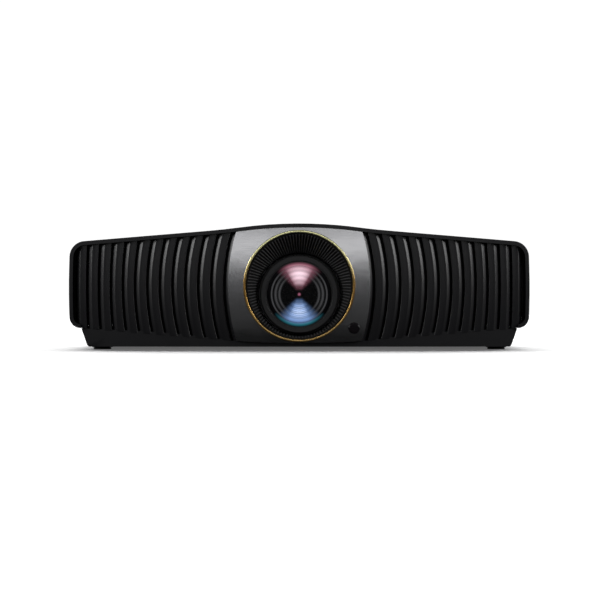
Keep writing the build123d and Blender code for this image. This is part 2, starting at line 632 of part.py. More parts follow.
with BuildPart() as horizontal_carriage:
    block((-side_half_x, side_half_x), (side_front_y, side_back_y), (flange_low_z, flange_high_z))
    block((-side_half_x, side_half_x), (up_front_y, side_back_y), (flange_low_z, flange_low_z + 5))
    block((up_screw_x - 7, side_half_x), (up_front_y, side_back_y), (flange_high_z - 5, flange_high_z))
    block((-8, 8), (side_front_y, side_back_y), (flange_high_z, side_screw_z + 6))
    disc(barrel_radius + shift_up + 1.5, side_front_y, side_back_y, mode=Mode.SUBTRACT)
    for z in (cross_rod_low_z, cross_rod_high_z):
        rod(rod_radius + bearing_clearance, (-far, cross_rod_y, z), (far, cross_rod_y, z),
            mode=Mode.SUBTRACT)
    rod(nut_bore, (-far, cross_rod_y, side_screw_z), (far, cross_rod_y, side_screw_z), mode=Mode.SUBTRACT)
    rod(nut_bore, (up_screw_x, up_screw_y, 0), (up_screw_x, up_screw_y, 200), mode=Mode.SUBTRACT)
    for x in (-upright_x, upright_x):
        rod(upright_radius, (x, upright_y, flange_low_z + 1), (x, upright_y, flange_high_z - 1))
save(horizontal_carriage, "horizontal_carriage")

with BuildPart() as lens_mount_frame:
    block((-frame_half_x, frame_half_x), (frame_plate_y, frame_back_y), (tray_floor_z, flange_high_z + 1))
    block((-frame_half_x, frame_half_x), (side_front_y, frame_back_y), (tray_floor_z, tray_floor_z + 2))
    for s in (-1, 1):
        block((s * (frame_half_x - frame_lug), s * frame_half_x), (side_front_y, frame_back_y),
              (tray_floor_z, side_screw_z + 4))
    disc(barrel_radius + shift_up + 3, frame_plate_y, frame_back_y, mode=Mode.SUBTRACT)
    rod(dial_radius + 1.5, (wheel_x - 1.5, cross_rod_y, side_screw_z),
        (wheel_end_x + 1.5, cross_rod_y, side_screw_z), mode=Mode.SUBTRACT)
    rod(nut_bore, (-far, cross_rod_y, side_screw_z), (far, cross_rod_y, side_screw_z), mode=Mode.SUBTRACT)
    for z in (cross_rod_low_z, cross_rod_high_z):
        rod(rod_radius, (1 - frame_half_x, cross_rod_y, z), (frame_half_x - 1, cross_rod_y, z))
save(lens_mount_frame, "lens_mount_frame")

with BuildPart() as horizontal_shift_dial:
    rod(screw_radius, (-frame_half_x, cross_rod_y, side_screw_z), (frame_half_x, cross_rod_y, side_screw_z))
    rod(dial_radius, (wheel_x, cross_rod_y, side_screw_z), (wheel_end_x, cross_rod_y, side_screw_z))
    with Locations(Location(((wheel_x + wheel_end_x) / 2, cross_rod_y, side_screw_z), (0, 90, 0))):
        with PolarLocations(dial_radius + dial_grip_radius / 2, dial_grips):
            Cylinder(dial_grip_radius, 2 * dial_width, mode=Mode.SUBTRACT)
save(horizontal_shift_dial, "horizontal_shift_dial")

with BuildPart() as vertical_shift_dial:
    screw_low_z = lens_z + up_half_z - 12 - shift_up - 2
    rod(screw_radius, (up_screw_x, up_screw_y, screw_low_z), (up_screw_x, up_screw_y, flange_high_z + 1))
    rod(small_dial_radius, (up_screw_x, up_screw_y, flange_high_z + seam),
        (up_screw_x, up_screw_y, flange_high_z + seam + dial_width))
    with Locations((up_screw_x, up_screw_y, flange_high_z + dial_width / 2)):
        with PolarLocations(small_dial_radius + dial_grip_radius / 2, small_dial_grips):
            Cylinder(dial_grip_radius, 2 * dial_width, mode=Mode.SUBTRACT)
save(vertical_shift_dial, "vertical_shift_dial")

# ---------------------------------------------------------------- door over the lens controls
knuckle_radius = 3.2
with BuildPart() as door_zone:
    block((-door_half, door_half), (door_front_y, hinge_y), (hinge_z - 10, far / 2))
    rod(door_tail_radius, (-door_half, hinge_y, hinge_z), (door_half, hinge_y, hinge_z))

with BuildPart() as lens_access_door:
    with BuildSketch(facing(hinge_y + door_tail_radius + 2)):
        add(casing_outline())
        add(casing_outline(wall, wall, -far / 4), mode=Mode.SUBTRACT)
    extrude(amount=hinge_y + door_tail_radius + 2 - door_front_y)
    add(door_zone.part, mode=Mode.INTERSECT)
    for s in (-1, 1):
        block((s * 43, s * 52), (hinge_y - 2, hinge_y + 2), (hinge_z, hinge_z + 4))
        rod(knuckle_radius, (s * 43, hinge_y, hinge_z), (s * 52, hinge_y, hinge_z))
        rod(hinge_pin_radius + bearing_clearance, (s * 42, hinge_y, hinge_z), (s * 53, hinge_y, hinge_z),
            mode=Mode.SUBTRACT)
save(lens_access_door, "lens_access_door")

with BuildPart() as door_hinge_pins:
    for s in (-1, 1):
        rod(hinge_pin_radius, (s * 43, hinge_y, hinge_z), (s * (door_half + 6), hinge_y, hinge_z))
save(door_hinge_pins, "door_hinge_pins")

# ---------------------------------------------------------------- lamp door, keypad, buttons
flange_lap, flange_drop, flange_thickness = 3.0, 1.2, 1.2
flange_front, flange_back = wall + flange_drop, wall + flange_drop + flange_thickness


def side_plate(x_sign, y_mid, z_mid, length, height, inset):
    """Plate that follows the casing's side and fills a window in it, with a flange behind its edge."""
    skin = casing_outline(inset, inset, inset)
    plate_size = (flange_back - inset + 2, height - 2 * part_gap)
    with BuildPart() as piece:
        with BuildSketch(facing(y_mid + length / 2 - part_gap)):
            add(skin)
            with Locations((x_sign * (half_width - flange_back + plate_size[0] / 2), z_mid)):
                Rectangle(*plate_size, mode=Mode.INTERSECT)
        extrude(amount=length - 2 * part_gap)
        block((x_sign * (half_width - flange_back), x_sign * (half_width - flange_front)),
              (y_mid - length / 2 - flange_lap, y_mid + length / 2 + flange_lap),
              (z_mid - height / 2 - flange_lap, z_mid + height / 2 + flange_lap))
    return piece.part


lamp_plate = side_plate(-1, lamp_door_y, lamp_door_z, lamp_door_length, lamp_door_height, 0.0)
keypad_plate = side_plate(1, keypad_y, keypad_z, keypad_length, keypad_height, 0.6)

lamp_slot_count, lamp_slot_pitch, lamp_slot_width, lamp_slot_margin = 10, 6.0, 2.6, 8.0
door_screw_margin, door_screw_radius = 10.0, 2.6
with BuildPart() as lamp_door:
    add(lamp_plate)
    with Locations((-half_width, lamp_door_y - door_screw_margin, lamp_door_z)):
        with GridLocations(0, lamp_slot_pitch, 1, lamp_slot_count):
            Box(20, lamp_slot_width, lamp_door_height - 2 * lamp_slot_margin, mode=Mode.SUBTRACT)
    door_screw_y = lamp_door_y + lamp_door_length / 2 - door_screw_margin
    rod(door_screw_radius, (-half_width - 5, door_screw_y, lamp_door_z),
        (5 - half_width, door_screw_y, lamp_door_z), mode=Mode.SUBTRACT)
save(lamp_door, "lamp_door")

keypad_back_x = half_width - flange_back
button_face_x = half_width - 0.1
collar_front_x = keypad_back_x - 0.4
collar_back_x = collar_front_x - 1.2
stem_end_x = collar_back_x - 1.2
switch_top_x = stem_end_x - button_travel - 0.1
cluster_y, side_keys_y = keypad_y - 10.0, keypad_y + 18.0
button_places = {
    "ok_button": (cluster_y, keypad_z),
    "up_button": (cluster_y, keypad_z + button_pitch),
    "down_button": (cluster_y, keypad_z - button_pitch),
    "left_button": (cluster_y - button_pitch, keypad_z),
    "right_button": (cluster_y + button_pitch, keypad_z),
    "power_button": (side_keys_y, keypad_z + 9.0),
    "menu_button": (side_keys_y, keypad_z - 9.0),
}
indicator_y, indicator_radius = keypad_y + 27.0, 1.0
indicator_heights = (keypad_z - 9.0, keypad_z, keypad_z + 9.0)

with BuildPart() as keypad_bezel:
    add(keypad_plate)
    for y, z in button_places.values():
        rod(button_radius + button_clearance, (keypad_back_x - 5, y, z), (half_width + 5, y, z),
            mode=Mode.SUBTRACT)
    for z in indicator_heights:
        rod(indicator_radius + 0.05, (keypad_back_x - 5, indicator_y, z), (half_width + 5, indicator_y, z),
            mode=Mode.SUBTRACT)
save(keypad_bezel, "keypad_bezel")

for name, (y, z) in button_places.items():
    with BuildPart() as button:
        rod(button_radius, (collar_front_x - 0.1, y, z), (button_face_x, y, z))
        fillet(button.edges().group_by(Axis.X)[-1], radius=0.5)
        rod(button_radius + 1.0, (collar_back_x, y, z), (collar_front_x, y, z))
        rod(1.5, (stem_end_x, y, z), (collar_back_x + 0.1, y, z))
    save(button, name)

board_top_x = switch_top_x - 1.6
with BuildPart() as keypad_board:
    block((board_top_x - board_thickness, board_top_x), (keypad_y - 29, keypad_y + 29),
          (keypad_z - 16.5, keypad_z + 16.5))
    for y, z in button_places.values():
        block((board_top_x, switch_top_x), (y - 2.5, y + 2.5), (z - 2.5, z + 2.5))
save(keypad_board, "keypad_board")

with BuildPart() as indicator_lenses:
    for z in indicator_heights:
        rod(indicator_radius, (board_top_x, indicator_y, z), (half_width - 0.4, indicator_y, z))
save(indicator_lenses, "indicator_lenses")

# ---------------------------------------------------------------- lamp, colour wheel, light tunnel, engine
lamp_back_x = lamp_length - lamp_outer_x
lamp_wall, reflector_radius, reflector_depth = 2.0, 25.0, 30.0
lamp_low_z = light_z - lamp_size / 2
with BuildPart() as lamp_housing:
    block((-lamp_outer_x, lamp_back_x), (light_y - lamp_size / 2, light_y + lamp_size / 2),
          (tray_floor_z, lamp_low_z + lamp_size))
    block((lamp_wall - lamp_outer_x, lamp_back_x - lamp_wall),
          (light_y - lamp_size / 2 + lamp_wall, light_y + lamp_size / 2 - lamp_wall),
          (lamp_low_z, lamp_low_z + lamp_size - lamp_wall), mode=Mode.SUBTRACT)
    block((5 - lamp_outer_x, lamp_back_x - 5), (light_y - 40, light_y + 40), (-1, lamp_low_z - 2),
          mode=Mode.SUBTRACT)
    rod(reflector_radius - 4, (lamp_back_x - 10, light_y, light_z), (lamp_back_x + 1, light_y, light_z),
        mode=Mode.SUBTRACT)
save(lamp_housing, "lamp_housing")

reflector_x = lamp_back_x - lamp_wall - 1.0
reflector_end_x, reflector_neck = reflector_x - reflector_depth, 12.0
neck_low_z, neck_high_z = light_z + 5.0, light_z + 8.0
reflector_thickness, reflector_inner_curve, reflector_outer_curve = 2.0, 38.0, 39.0
with BuildPart() as lamp_reflector:
    with BuildSketch(Plane.XZ.offset(-light_y)):
        with BuildLine():
            Line((reflector_x, light_z + reflector_radius),
                 (reflector_x, light_z + reflector_radius - reflector_thickness))
            RadiusArc((reflector_x, light_z + reflector_radius - reflector_thickness),
                      (reflector_end_x, neck_low_z), -reflector_inner_curve)
            Polyline((reflector_end_x, neck_low_z), (reflector_end_x - reflector_neck, neck_low_z),
                     (reflector_end_x - reflector_neck, neck_high_z), (reflector_end_x, neck_high_z))
            RadiusArc((reflector_end_x, neck_high_z), (reflector_x, light_z + reflector_radius),
                      reflector_outer_curve)
        make_face()
    revolve(axis=Axis((0, light_y, light_z), (1, 0, 0)))
save(lamp_reflector, "lamp_reflector")

wheel_radius, wheel_thickness, wheel_hub, motor_radius, motor_length = 25.0, 1.2, 7.0, 10.5, 12.0
motor_shaft = 1.5
wheel_centre_z = light_z + 19.0
color_wheel_x = lamp_back_x + 14.0
with BuildPart() as color_wheel_motor:
    rod(motor_radius, (color_wheel_x + 3, light_y, wheel_centre_z),
        (color_wheel_x + 3 + motor_length, light_y, wheel_centre_z))
    rod(motor_shaft, (color_wheel_x - 2, light_y, wheel_centre_z),
        (color_wheel_x + 4, light_y, wheel_centre_z))
save(color_wheel_motor, "color_wheel_motor")

with BuildPart() as color_wheel:
    rod(wheel_radius, (color_wheel_x, light_y, wheel_centre_z),
        (color_wheel_x + wheel_thickness, light_y, wheel_centre_z))
    rod(wheel_hub, (color_wheel_x - 1.5, light_y, wheel_centre_z),
        (color_wheel_x + 2, light_y, wheel_centre_z))
    rod(motor_shaft + bearing_clearance, (color_wheel_x - 5, light_y, wheel_centre_z),
        (color_wheel_x + 5, light_y, wheel_centre_z), mode=Mode.SUBTRACT)
save(color_wheel, "color_wheel")

tunnel_half, tunnel_start_x = 4.0, color_wheel_x + 4.0
neck_half, neck_x = 13.0, -engine_half - 40.0
with BuildPart() as light_tunnel:
    block((tunnel_start_x, neck_x + 6), (light_y - tunnel_half, light_y + tunnel_half),
          (light_z - tunnel_half, light_z + tunnel_half))
    block((tunnel_start_x, neck_x + 6), (light_y - tunnel_half + 1, light_y + tunnel_half - 1),
          (light_z - tunnel_half + 1, light_z + tunnel_half - 1), mode=Mode.SUBTRACT)
save(light_tunnel, "light_tunnel")

engine_low_z, engine_high_z = 18.0, light_z + 38.0
with BuildPart() as light_engine_housing:
    block((-engine_half, engine_half), (engine_front_y, engine_back_y), (engine_low_z, engine_high_z))
    block((neck_x, 1 - engine_half), (light_y - neck_half, light_y + neck_half),
          (light_z - neck_half, light_z + neck_half))
    for x in (8 - engine_half, engine_half - 8):
        for y in (engine_front_y + 8, engine_back_y - 8):
            rod(5.0, (x, y, tray_floor_z), (x, y, engine_low_z + 1))
    block((engine_wall - engine_half, engine_half - engine_wall),
          (engine_front_y + engine_wall, engine_back_y - engine_wall),
          (engine_low_z + engine_wall, engine_high_z - engine_wall), mode=Mode.SUBTRACT)
    block((neck_x + 2, 5 - engine_half), (light_y - neck_half + 2, light_y + neck_half - 2),
          (light_z - neck_half + 2, light_z + neck_half - 2), mode=Mode.SUBTRACT)
    block((neck_x - 1, neck_x + 3), (light_y - tunnel_half, light_y + tunnel_half),
          (light_z - tunnel_half, light_z + tunnel_half), mode=Mode.SUBTRACT)
    disc(30.0, engine_front_y - 1, engine_front_y + engine_wall + 1, mode=Mode.SUBTRACT)
    block((-14, 14), (engine_back_y - engine_wall - 1, engine_back_y + 1), (lens_z - 11, lens_z + 11),
          mode=Mode.SUBTRACT)
save(light_engine_housing, "light_engine_housing")

chip_board_y, chip_half_width, chip_half_height = engine_back_y + 1.0, 13.0, 10.0
sink_y = chip_board_y + board_thickness
with BuildPart() as dmd_board:
    block((-30, 30), (chip_board_y, sink_y), (lens_z - 25, lens_z + 30))
    block((-chip_half_width, chip_half_width), (engine_back_y - 4, chip_board_y),
          (lens_z - chip_half_height, lens_z + chip_half_height))
save(dmd_board, "dmd_board")

fin_count, fin_pitch, fin_thickness, fin_length = 9, 6.0, 1.5, 20.0
sink_half_width, sink_height, sink_base = 26.0, 40.0, 4.0
with BuildPart() as dmd_heat_sink:
    block((-sink_half_width, sink_half_width), (sink_y, sink_y + sink_base),
          (lens_z - sink_height / 2, lens_z + sink_height / 2))
    with Locations((0, sink_y + sink_base - 1 + fin_length / 2, lens_z)):
        with GridLocations(fin_pitch, 0, fin_count, 1):
            Box(fin_thickness, fin_length, sink_height)
save(dmd_heat_sink, "dmd_heat_sink")

# ---------------------------------------------------------------- fans
fan_back_y = fan_front_y + fan_depth
fan_low_z = fan_z - fan_size / 2
fan_shaft, strut_width, fan_screw_radius, fan_screw_place = 1.5, 3.0, 2.2, fan_size / 2 - 4.25
blade_length, blade_thickness, blade_slant = 20.0, 2.0, 38.0


def fan_frame(x):
    """Square fan frame with its motor seat on four struts, on two legs, in the current part."""
    block((x - fan_size / 2, x + fan_size / 2), (fan_front_y, fan_back_y),
          (fan_low_z, fan_low_z + fan_size))
    disc(fan_bore, fan_front_y, fan_back_y, x=x, z=fan_z, mode=Mode.SUBTRACT)
    disc(fan_hub, fan_back_y - strut_width, fan_back_y, x=x, z=fan_z)
    disc(fan_shaft, fan_front_y + 4, fan_back_y - 2, x=x, z=fan_z)
    for turn in range(4):
        with Locations(Location((x, fan_back_y - strut_width / 2, fan_z), (0, 45 + 90 * turn, 0))):
            Box(strut_width, strut_width, fan_bore + 2, align=(Align.CENTER, Align.CENTER, Align.MIN))
    for s in (-1, 1):
        block((x + s * 26, x + s * 36), (fan_front_y, fan_back_y), (tray_floor_z, fan_low_z + 1))
        for t in (-1, 1):
            disc(fan_screw_radius, fan_front_y - 1, fan_back_y + 1, x=x + s * fan_screw_place,
                 z=fan_z + t * fan_screw_place, mode=Mode.SUBTRACT)


def fan_rotor(x):
    """Fan hub with slanted blades, in the current part."""
    rotor_front, rotor_back = fan_front_y + 2, fan_back_y - 4
    disc(fan_hub, rotor_front, rotor_back, x=x, z=fan_z)
    for blade in range(blade_count):
        turn = 360 * blade / blade_count
        with Locations(Location((x, (rotor_front + rotor_back) / 2, fan_z), (0, turn, 0))
                       * Location((0, 0, fan_hub - 2), (0, 0, blade_slant))):
            Box(blade_length, blade_thickness, fan_bore - fan_tip_clearance - 2.5 - fan_hub + 2,
                align=(Align.CENTER, Align.CENTER, Align.MIN))
    disc(fan_shaft + bearing_clearance, rotor_front + 2, rotor_back + 1, x=x, z=fan_z, mode=Mode.SUBTRACT)


for name, x in (("intake", -fan_x), ("exhaust", fan_x)):
    with BuildPart() as frame:
        fan_frame(x)
    save(frame, f"{name}_fan_frame")
    with BuildPart() as rotor:
        fan_rotor(x)
    save(rotor, f"{name}_fan_rotor")

# ---------------------------------------------------------------- connectors and boards
socket_low_z = io_board_z + board_thickness
socket_depth, socket_wall, panel_clearance = 14.0, 0.8, 0.25
# middle x, width, height of each rectangular socket
sockets = (
    (-100.0, 15.0, 6.0), (-76.0, 15.0, 6.0),
    (-52.0, 13.2, 6.6), (-30.0, 13.2, 6.6),
    (-4.0, 16.0, 13.6), (30.0, 31.0, 12.6),
)
jack_places, jack_body, jack_sleeve_radius, jack_bore = (58.0, 74.0, 90.0), 12.0, 4.0, 1.8
jack_z = socket_low_z + jack_body / 2
inlet_x, inlet_z, inlet_width, inlet_height, inlet_depth = io_x + 135.0, io_z, 28.0, 20.5, 22.0
inlet_cavity = (24.2, 16.4, 17.0)

with BuildPart() as rear_panel:
    block((io_x - io_length / 2 + part_gap, io_x + io_length / 2 - part_gap), (back_y - wall, back_y),
          (io_z - io_height / 2 + part_gap, io_z + io_height / 2 - part_gap))
    block((io_x - io_length / 2 - 4, io_x + io_length / 2 + 4),
          (back_y - wall - 1.9, back_y - wall - part_gap),
          (io_z - io_height / 2 - 3, io_z + io_height / 2 + 3))
    block((io_x - io_length / 2 + 2, io_x + io_length / 2 - 2), (back_y - wall - 1, back_y - wall + 1),
          (io_z - io_height / 2 + 2, io_z + io_height / 2 - 2))
    for x, width, height in sockets:
        block((x - width / 2 - panel_clearance, x + width / 2 + panel_clearance), (back_y - 8, back_y + 1),
              (socket_low_z - panel_clearance, socket_low_z + height + panel_clearance), mode=Mode.SUBTRACT)
    for x in jack_places:
        disc(jack_sleeve_radius + 0.1, back_y - 8, back_y + 1, x=x, z=jack_z, mode=Mode.SUBTRACT)
    block((inlet_x - inlet_width / 2 - panel_clearance, inlet_x + inlet_width / 2 + panel_clearance),
          (back_y - 8, back_y + 1),
          (inlet_z - inlet_height / 2 - panel_clearance, inlet_z + inlet_height / 2 + panel_clearance),
          mode=Mode.SUBTRACT)
save(rear_panel, "rear_panel")

with BuildPart() as rear_connectors:
    for x, width, height in sockets:
        mid_z = socket_low_z + height / 2
        block((x - width / 2, x + width / 2), (back_y - socket_depth, back_y),
              (socket_low_z, socket_low_z + height))
        block((x - width / 2 + socket_wall, x + width / 2 - socket_wall),
              (back_y - socket_depth + 2, back_y + 1),
              (socket_low_z + socket_wall, socket_low_z + height - socket_wall), mode=Mode.SUBTRACT)
        block((x - width / 2 + 3, x + width / 2 - 3), (back_y - socket_depth + 1, back_y - 3),
              (mid_z - 0.6, mid_z + 0.6))
    for x in jack_places:
        block((x - jack_body / 2, x + jack_body / 2), (back_y - socket_depth - 2, back_y - 5),
              (socket_low_z, socket_low_z + jack_body))
        disc(jack_sleeve_radius + 0.05, back_y - socket_depth, back_y, x=x, z=jack_z, mode=Mode.SUBTRACT)
save(rear_connectors, "rear_connectors")

with BuildPart() as jack_sleeves:
    for x in jack_places:
        disc(jack_sleeve_radius, back_y - socket_depth + 0.5, back_y, x=x, z=jack_z)
        disc(jack_bore, back_y - socket_depth - 1, back_y + 1, x=x, z=jack_z, mode=Mode.SUBTRACT)
save(jack_sleeves, "jack_sleeves")

with BuildPart() as ac_inlet:
    cavity_width, cavity_height, cavity_depth = inlet_cavity
    block((inlet_x - inlet_width / 2, inlet_x + inlet_width / 2), (back_y - inlet_depth, back_y),
          (inlet_z - inlet_height / 2, inlet_z + inlet_height / 2))
    block((inlet_x - cavity_width / 2, inlet_x + cavity_width / 2), (back_y - cavity_depth, back_y + 1),
          (inlet_z - cavity_height / 2, inlet_z + cavity_height / 2), mode=Mode.SUBTRACT)
    for dx, dz in ((-7, -3), (7, -3), (0, 1.2)):
        block((inlet_x + dx - 1, inlet_x + dx + 1), (back_y - cavity_depth - 1, back_y - 4),
              (inlet_z + dz - 2, inlet_z + dz + 2))
save(ac_inlet, "ac_inlet")

board_left_x, board_right_x, board_front_edge, board_back_edge = -115.0, 105.0, 104.0, back_y - 6.0
with BuildPart() as main_board:
    block((board_left_x, board_right_x), (board_front_edge, board_back_edge),
          (io_board_z, io_board_z + board_thickness))
    for x in (board_left_x + 8, board_right_x - 8):
        for y in (board_front_edge + 8, board_back_edge - 12):
            rod(3.0, (x, y, tray_floor_z), (x, y, io_board_z))
    block((-40, -12), (112, 140), (socket_low_z, socket_low_z + 3))
    block((20, 38), (114, 132), (socket_low_z, socket_low_z + 2.4))
    block((-80, -68), (112, 128), (socket_low_z, socket_low_z + 1.6))
save(main_board, "main_board")

supply_z, supply_x, supply_half_x, supply_half_y = 16.0, 145.0, 50.0, 70.0
with BuildPart() as power_supply_board:
    block((supply_x - supply_half_x, supply_x + supply_half_x), (-supply_half_y, supply_half_y),
          (supply_z, supply_z + board_thickness))
    for sx in (-1, 1):
        for sy in (-1, 1):
            x, y = supply_x + sx * (supply_half_x - 6), sy * (supply_half_y - 6)
            rod(3.0, (x, y, tray_floor_z), (x, y, supply_z))
    top_z = supply_z + board_thickness
    block((supply_x - 30, supply_x + 4), (-10, 26), (top_z, top_z + 28))
    block((supply_x + 14, supply_x + 20), (-50, 40), (top_z, top_z + 30))
    for y in (-48, -24):
        rod(9.0, (supply_x - 20, y, top_z), (supply_x - 20, y, top_z + 32))
    rod(6.0, (supply_x - 24, 46, top_z), (supply_x - 24, 46, top_z + 22))
save(power_supply_board, "power_supply_board")
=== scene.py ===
import json
import math

import bmesh
import bpy
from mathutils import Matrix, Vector


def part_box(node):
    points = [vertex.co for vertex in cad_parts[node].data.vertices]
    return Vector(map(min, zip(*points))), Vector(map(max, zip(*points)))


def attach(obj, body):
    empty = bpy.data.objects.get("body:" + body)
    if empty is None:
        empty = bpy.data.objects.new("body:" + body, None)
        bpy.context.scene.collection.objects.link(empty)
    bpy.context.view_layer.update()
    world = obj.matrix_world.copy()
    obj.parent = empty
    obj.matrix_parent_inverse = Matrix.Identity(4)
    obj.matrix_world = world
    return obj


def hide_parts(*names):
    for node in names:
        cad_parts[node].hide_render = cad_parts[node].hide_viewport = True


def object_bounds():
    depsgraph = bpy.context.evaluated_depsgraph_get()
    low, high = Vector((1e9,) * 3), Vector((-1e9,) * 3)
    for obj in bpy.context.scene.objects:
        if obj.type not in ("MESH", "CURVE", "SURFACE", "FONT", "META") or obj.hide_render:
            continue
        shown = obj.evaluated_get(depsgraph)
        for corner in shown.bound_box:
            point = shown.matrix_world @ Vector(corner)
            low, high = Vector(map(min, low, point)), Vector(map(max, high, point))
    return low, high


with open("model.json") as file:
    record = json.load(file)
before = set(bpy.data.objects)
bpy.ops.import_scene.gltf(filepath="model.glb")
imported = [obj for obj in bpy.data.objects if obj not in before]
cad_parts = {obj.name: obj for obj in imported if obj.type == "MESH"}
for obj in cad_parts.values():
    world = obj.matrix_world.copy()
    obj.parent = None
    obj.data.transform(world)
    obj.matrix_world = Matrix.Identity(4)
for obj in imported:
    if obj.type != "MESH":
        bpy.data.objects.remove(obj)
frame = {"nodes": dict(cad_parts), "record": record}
cad_low, cad_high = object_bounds()
body_of_node = {n: body for body, nodes in frame["record"]["behaviour"]["bodies"].items() for n in nodes}
slot_of_node = {s["node"]: s["material_slot"] for s in frame["record"]["subparts"]}

MM = 0.001

# ---------------------------------------------------------------- sizes shared by several pieces
front_y = cad_low.y
height = cad_high.z
ring_low, ring_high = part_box("accent_ring")
ring_z, ring_radius = (ring_low.z + ring_high.z) / 2, (ring_high.x - ring_low.x) / 2
glass_low, glass_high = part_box("front_lens_element")
cell_low, cell_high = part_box("front_lens_cell")
lens_z, glass_radius = (glass_low.z + glass_high.z) / 2, (glass_high.x - glass_low.x) / 2
rim_radius = glass_radius + 4.0 * MM       # outer edge of the rim round the glass, which glows with painted reflections
cell_radius = (cell_high.x - cell_low.x) / 2
front_plan_radius, front_profile_radius, front_middle_z = 1.5, 0.696, 0.066


# ---------------------------------------------------------------- camera
def make_camera():
    """Level camera straight in front, far enough away that the front stays almost undistorted."""
    data = bpy.data.cameras.new("front_camera")
    data.lens, data.sensor_width = 200, 36
    view_width, aside, eye_height = 0.6387, 0.0008, 0.0529
    distance = view_width * data.lens / data.sensor_width
    camera = bpy.data.objects.new("front_camera", data)
    camera.location = (aside, front_y - distance, eye_height)
    camera.rotation_euler = (math.radians(90), 0, 0)
    bpy.context.collection.objects.link(camera)
    bpy.context.scene.camera = camera


make_camera()


# ---------------------------------------------------------------- node helpers
class Field:
    """A socket's value in a node tree, with arithmetic that adds Math nodes."""

    def __init__(self, tree, socket):
        self.tree, self.socket = tree, socket

    def op(self, operation, *others):
        node = self.tree.nodes.new("ShaderNodeMath")
        node.operation = operation
        for socket, value in zip(node.inputs, (self, *others)):
            if isinstance(value, Field):
                self.tree.links.new(value.socket, socket)
            else:
                socket.default_value = value
        return Field(self.tree, node.outputs[0])

    def __add__(self, other):
        return self.op("ADD", other)

    def __sub__(self, other):
        return self.op("SUBTRACT", other)

    def __rsub__(self, other):
        return self.op("MULTIPLY_ADD", -1.0, other)

    def __mul__(self, other):
        return self.op("MULTIPLY", other)

    def __truediv__(self, other):
        return self.op("DIVIDE", other)

    def squared(self):
        return self.op("MULTIPLY", self)

    def root(self):
        return self.op("SQRT")

    def toward(self, end, share):
        """Straight blend from this value to end."""
        return self + (end - self) * share


def geometry_tree(name, inputs):
    """New geometry tree with a geometry input, named number inputs, and their fields."""
    tree = bpy.data.node_groups.new(name, "GeometryNodeTree")
    tree.interface.new_socket("Geometry", in_out="INPUT", socket_type="NodeSocketGeometry")
    tree.interface.new_socket("Geometry", in_out="OUTPUT", socket_type="NodeSocketGeometry")
    for label, value in inputs.items():
        kind = "NodeSocketInt" if isinstance(value, int) else "NodeSocketFloat"
        tree.interface.new_socket(label, in_out="INPUT", socket_type=kind)
    entry, leave = tree.nodes.new("NodeGroupInput"), tree.nodes.new("NodeGroupOutput")
    fields = {label: Field(tree, entry.outputs[label]) for label in inputs}
    return tree, entry.outputs["Geometry"], leave.inputs["Geometry"], fields


def repeat_along_index(tree, geometry, count):
    """Copies of the geometry, one per index, and the field of each copy's index."""
    line = tree.nodes.new("GeometryNodeMeshLine")
    line.inputs["Offset"].default_value = (0, 0, 0)
    tree.links.new(count.socket, line.inputs["Count"])
    store = tree.nodes.new("GeometryNodeStoreNamedAttribute")
    store.data_type, store.domain = "FLOAT", "POINT"
    store.inputs["Name"].default_value = "place"
    index = tree.nodes.new("GeometryNodeInputIndex")
    tree.links.new(line.outputs[0], store.inputs["Geometry"])
    tree.links.new(index.outputs[0], store.inputs["Value"])
    spread = tree.nodes.new("GeometryNodeInstanceOnPoints")
    tree.links.new(store.outputs[0], spread.inputs["Points"])
    tree.links.new(geometry, spread.inputs["Instance"])
    realize = tree.nodes.new("GeometryNodeRealizeInstances")
    tree.links.new(spread.outputs[0], realize.inputs[0])
    place = tree.nodes.new("GeometryNodeInputNamedAttribute")
    place.data_type = "FLOAT"
    place.inputs["Name"].default_value = "place"
    return realize.outputs[0], Field(tree, place.outputs[0])


def position_fields(tree):
    """Fields of a point's x, y and z."""
    position = tree.nodes.new("GeometryNodeInputPosition")
    split = tree.nodes.new("ShaderNodeSeparateXYZ")
    tree.links.new(position.outputs[0], split.inputs[0])
    return [Field(tree, split.outputs[i]) for i in range(3)]


def finish_tree(tree, geometry, out, place, material):
    """Moves the points to their places, makes instances real and sets the material."""
    join = tree.nodes.new("ShaderNodeCombineXYZ")
    for socket, value in zip(join.inputs, place):
        tree.links.new(value.socket, socket)
    move = tree.nodes.new("GeometryNodeSetPosition")
    tree.links.new(geometry, move.inputs["Geometry"])
    tree.links.new(join.outputs[0], move.inputs["Position"])
    real = tree.nodes.new("GeometryNodeRealizeInstances")
    finish = tree.nodes.new("GeometryNodeSetMaterial")
    finish.inputs["Material"].default_value = material
    tree.links.new(move.outputs[0], real.inputs[0])
    tree.links.new(real.outputs[0], finish.inputs[0])
    tree.links.new(finish.outputs[0], out)


def grown(name, seed_object, tree, inputs):
    """Plain mesh object from the tree, run on the seed object with these inputs."""
    modifier = seed_object.modifiers.new(name, "NODES")
    modifier.node_group = tree
    names = {i.name: i.identifier for i in tree.interface.items_tree if i.in_out == "INPUT"}
    for label, value in inputs.items():
        modifier[names[label]] = value
    evaluated = seed_object.evaluated_get(bpy.context.evaluated_depsgraph_get())
    mesh = bpy.data.meshes.new_from_object(evaluated)
    bpy.data.objects.remove(seed_object)
    return add_object(name, mesh)


# ---------------------------------------------------------------- mesh helpers
def add_object(name, mesh):
    mesh.name = name
    piece = bpy.data.objects.new(name, mesh)
    bpy.context.collection.objects.link(piece)
    return piece


def mesh_object(name, bm):
    mesh = bpy.data.meshes.new(name)
    bm.to_mesh(mesh)
    bm.free()
    return add_object(name, mesh)


def smooth(piece, angle):
    """Smooth shading, with edges sharper than the angle kept crisp."""
    piece.data.shade_smooth()
    piece.data.set_sharp_from_angle(angle=math.radians(angle))


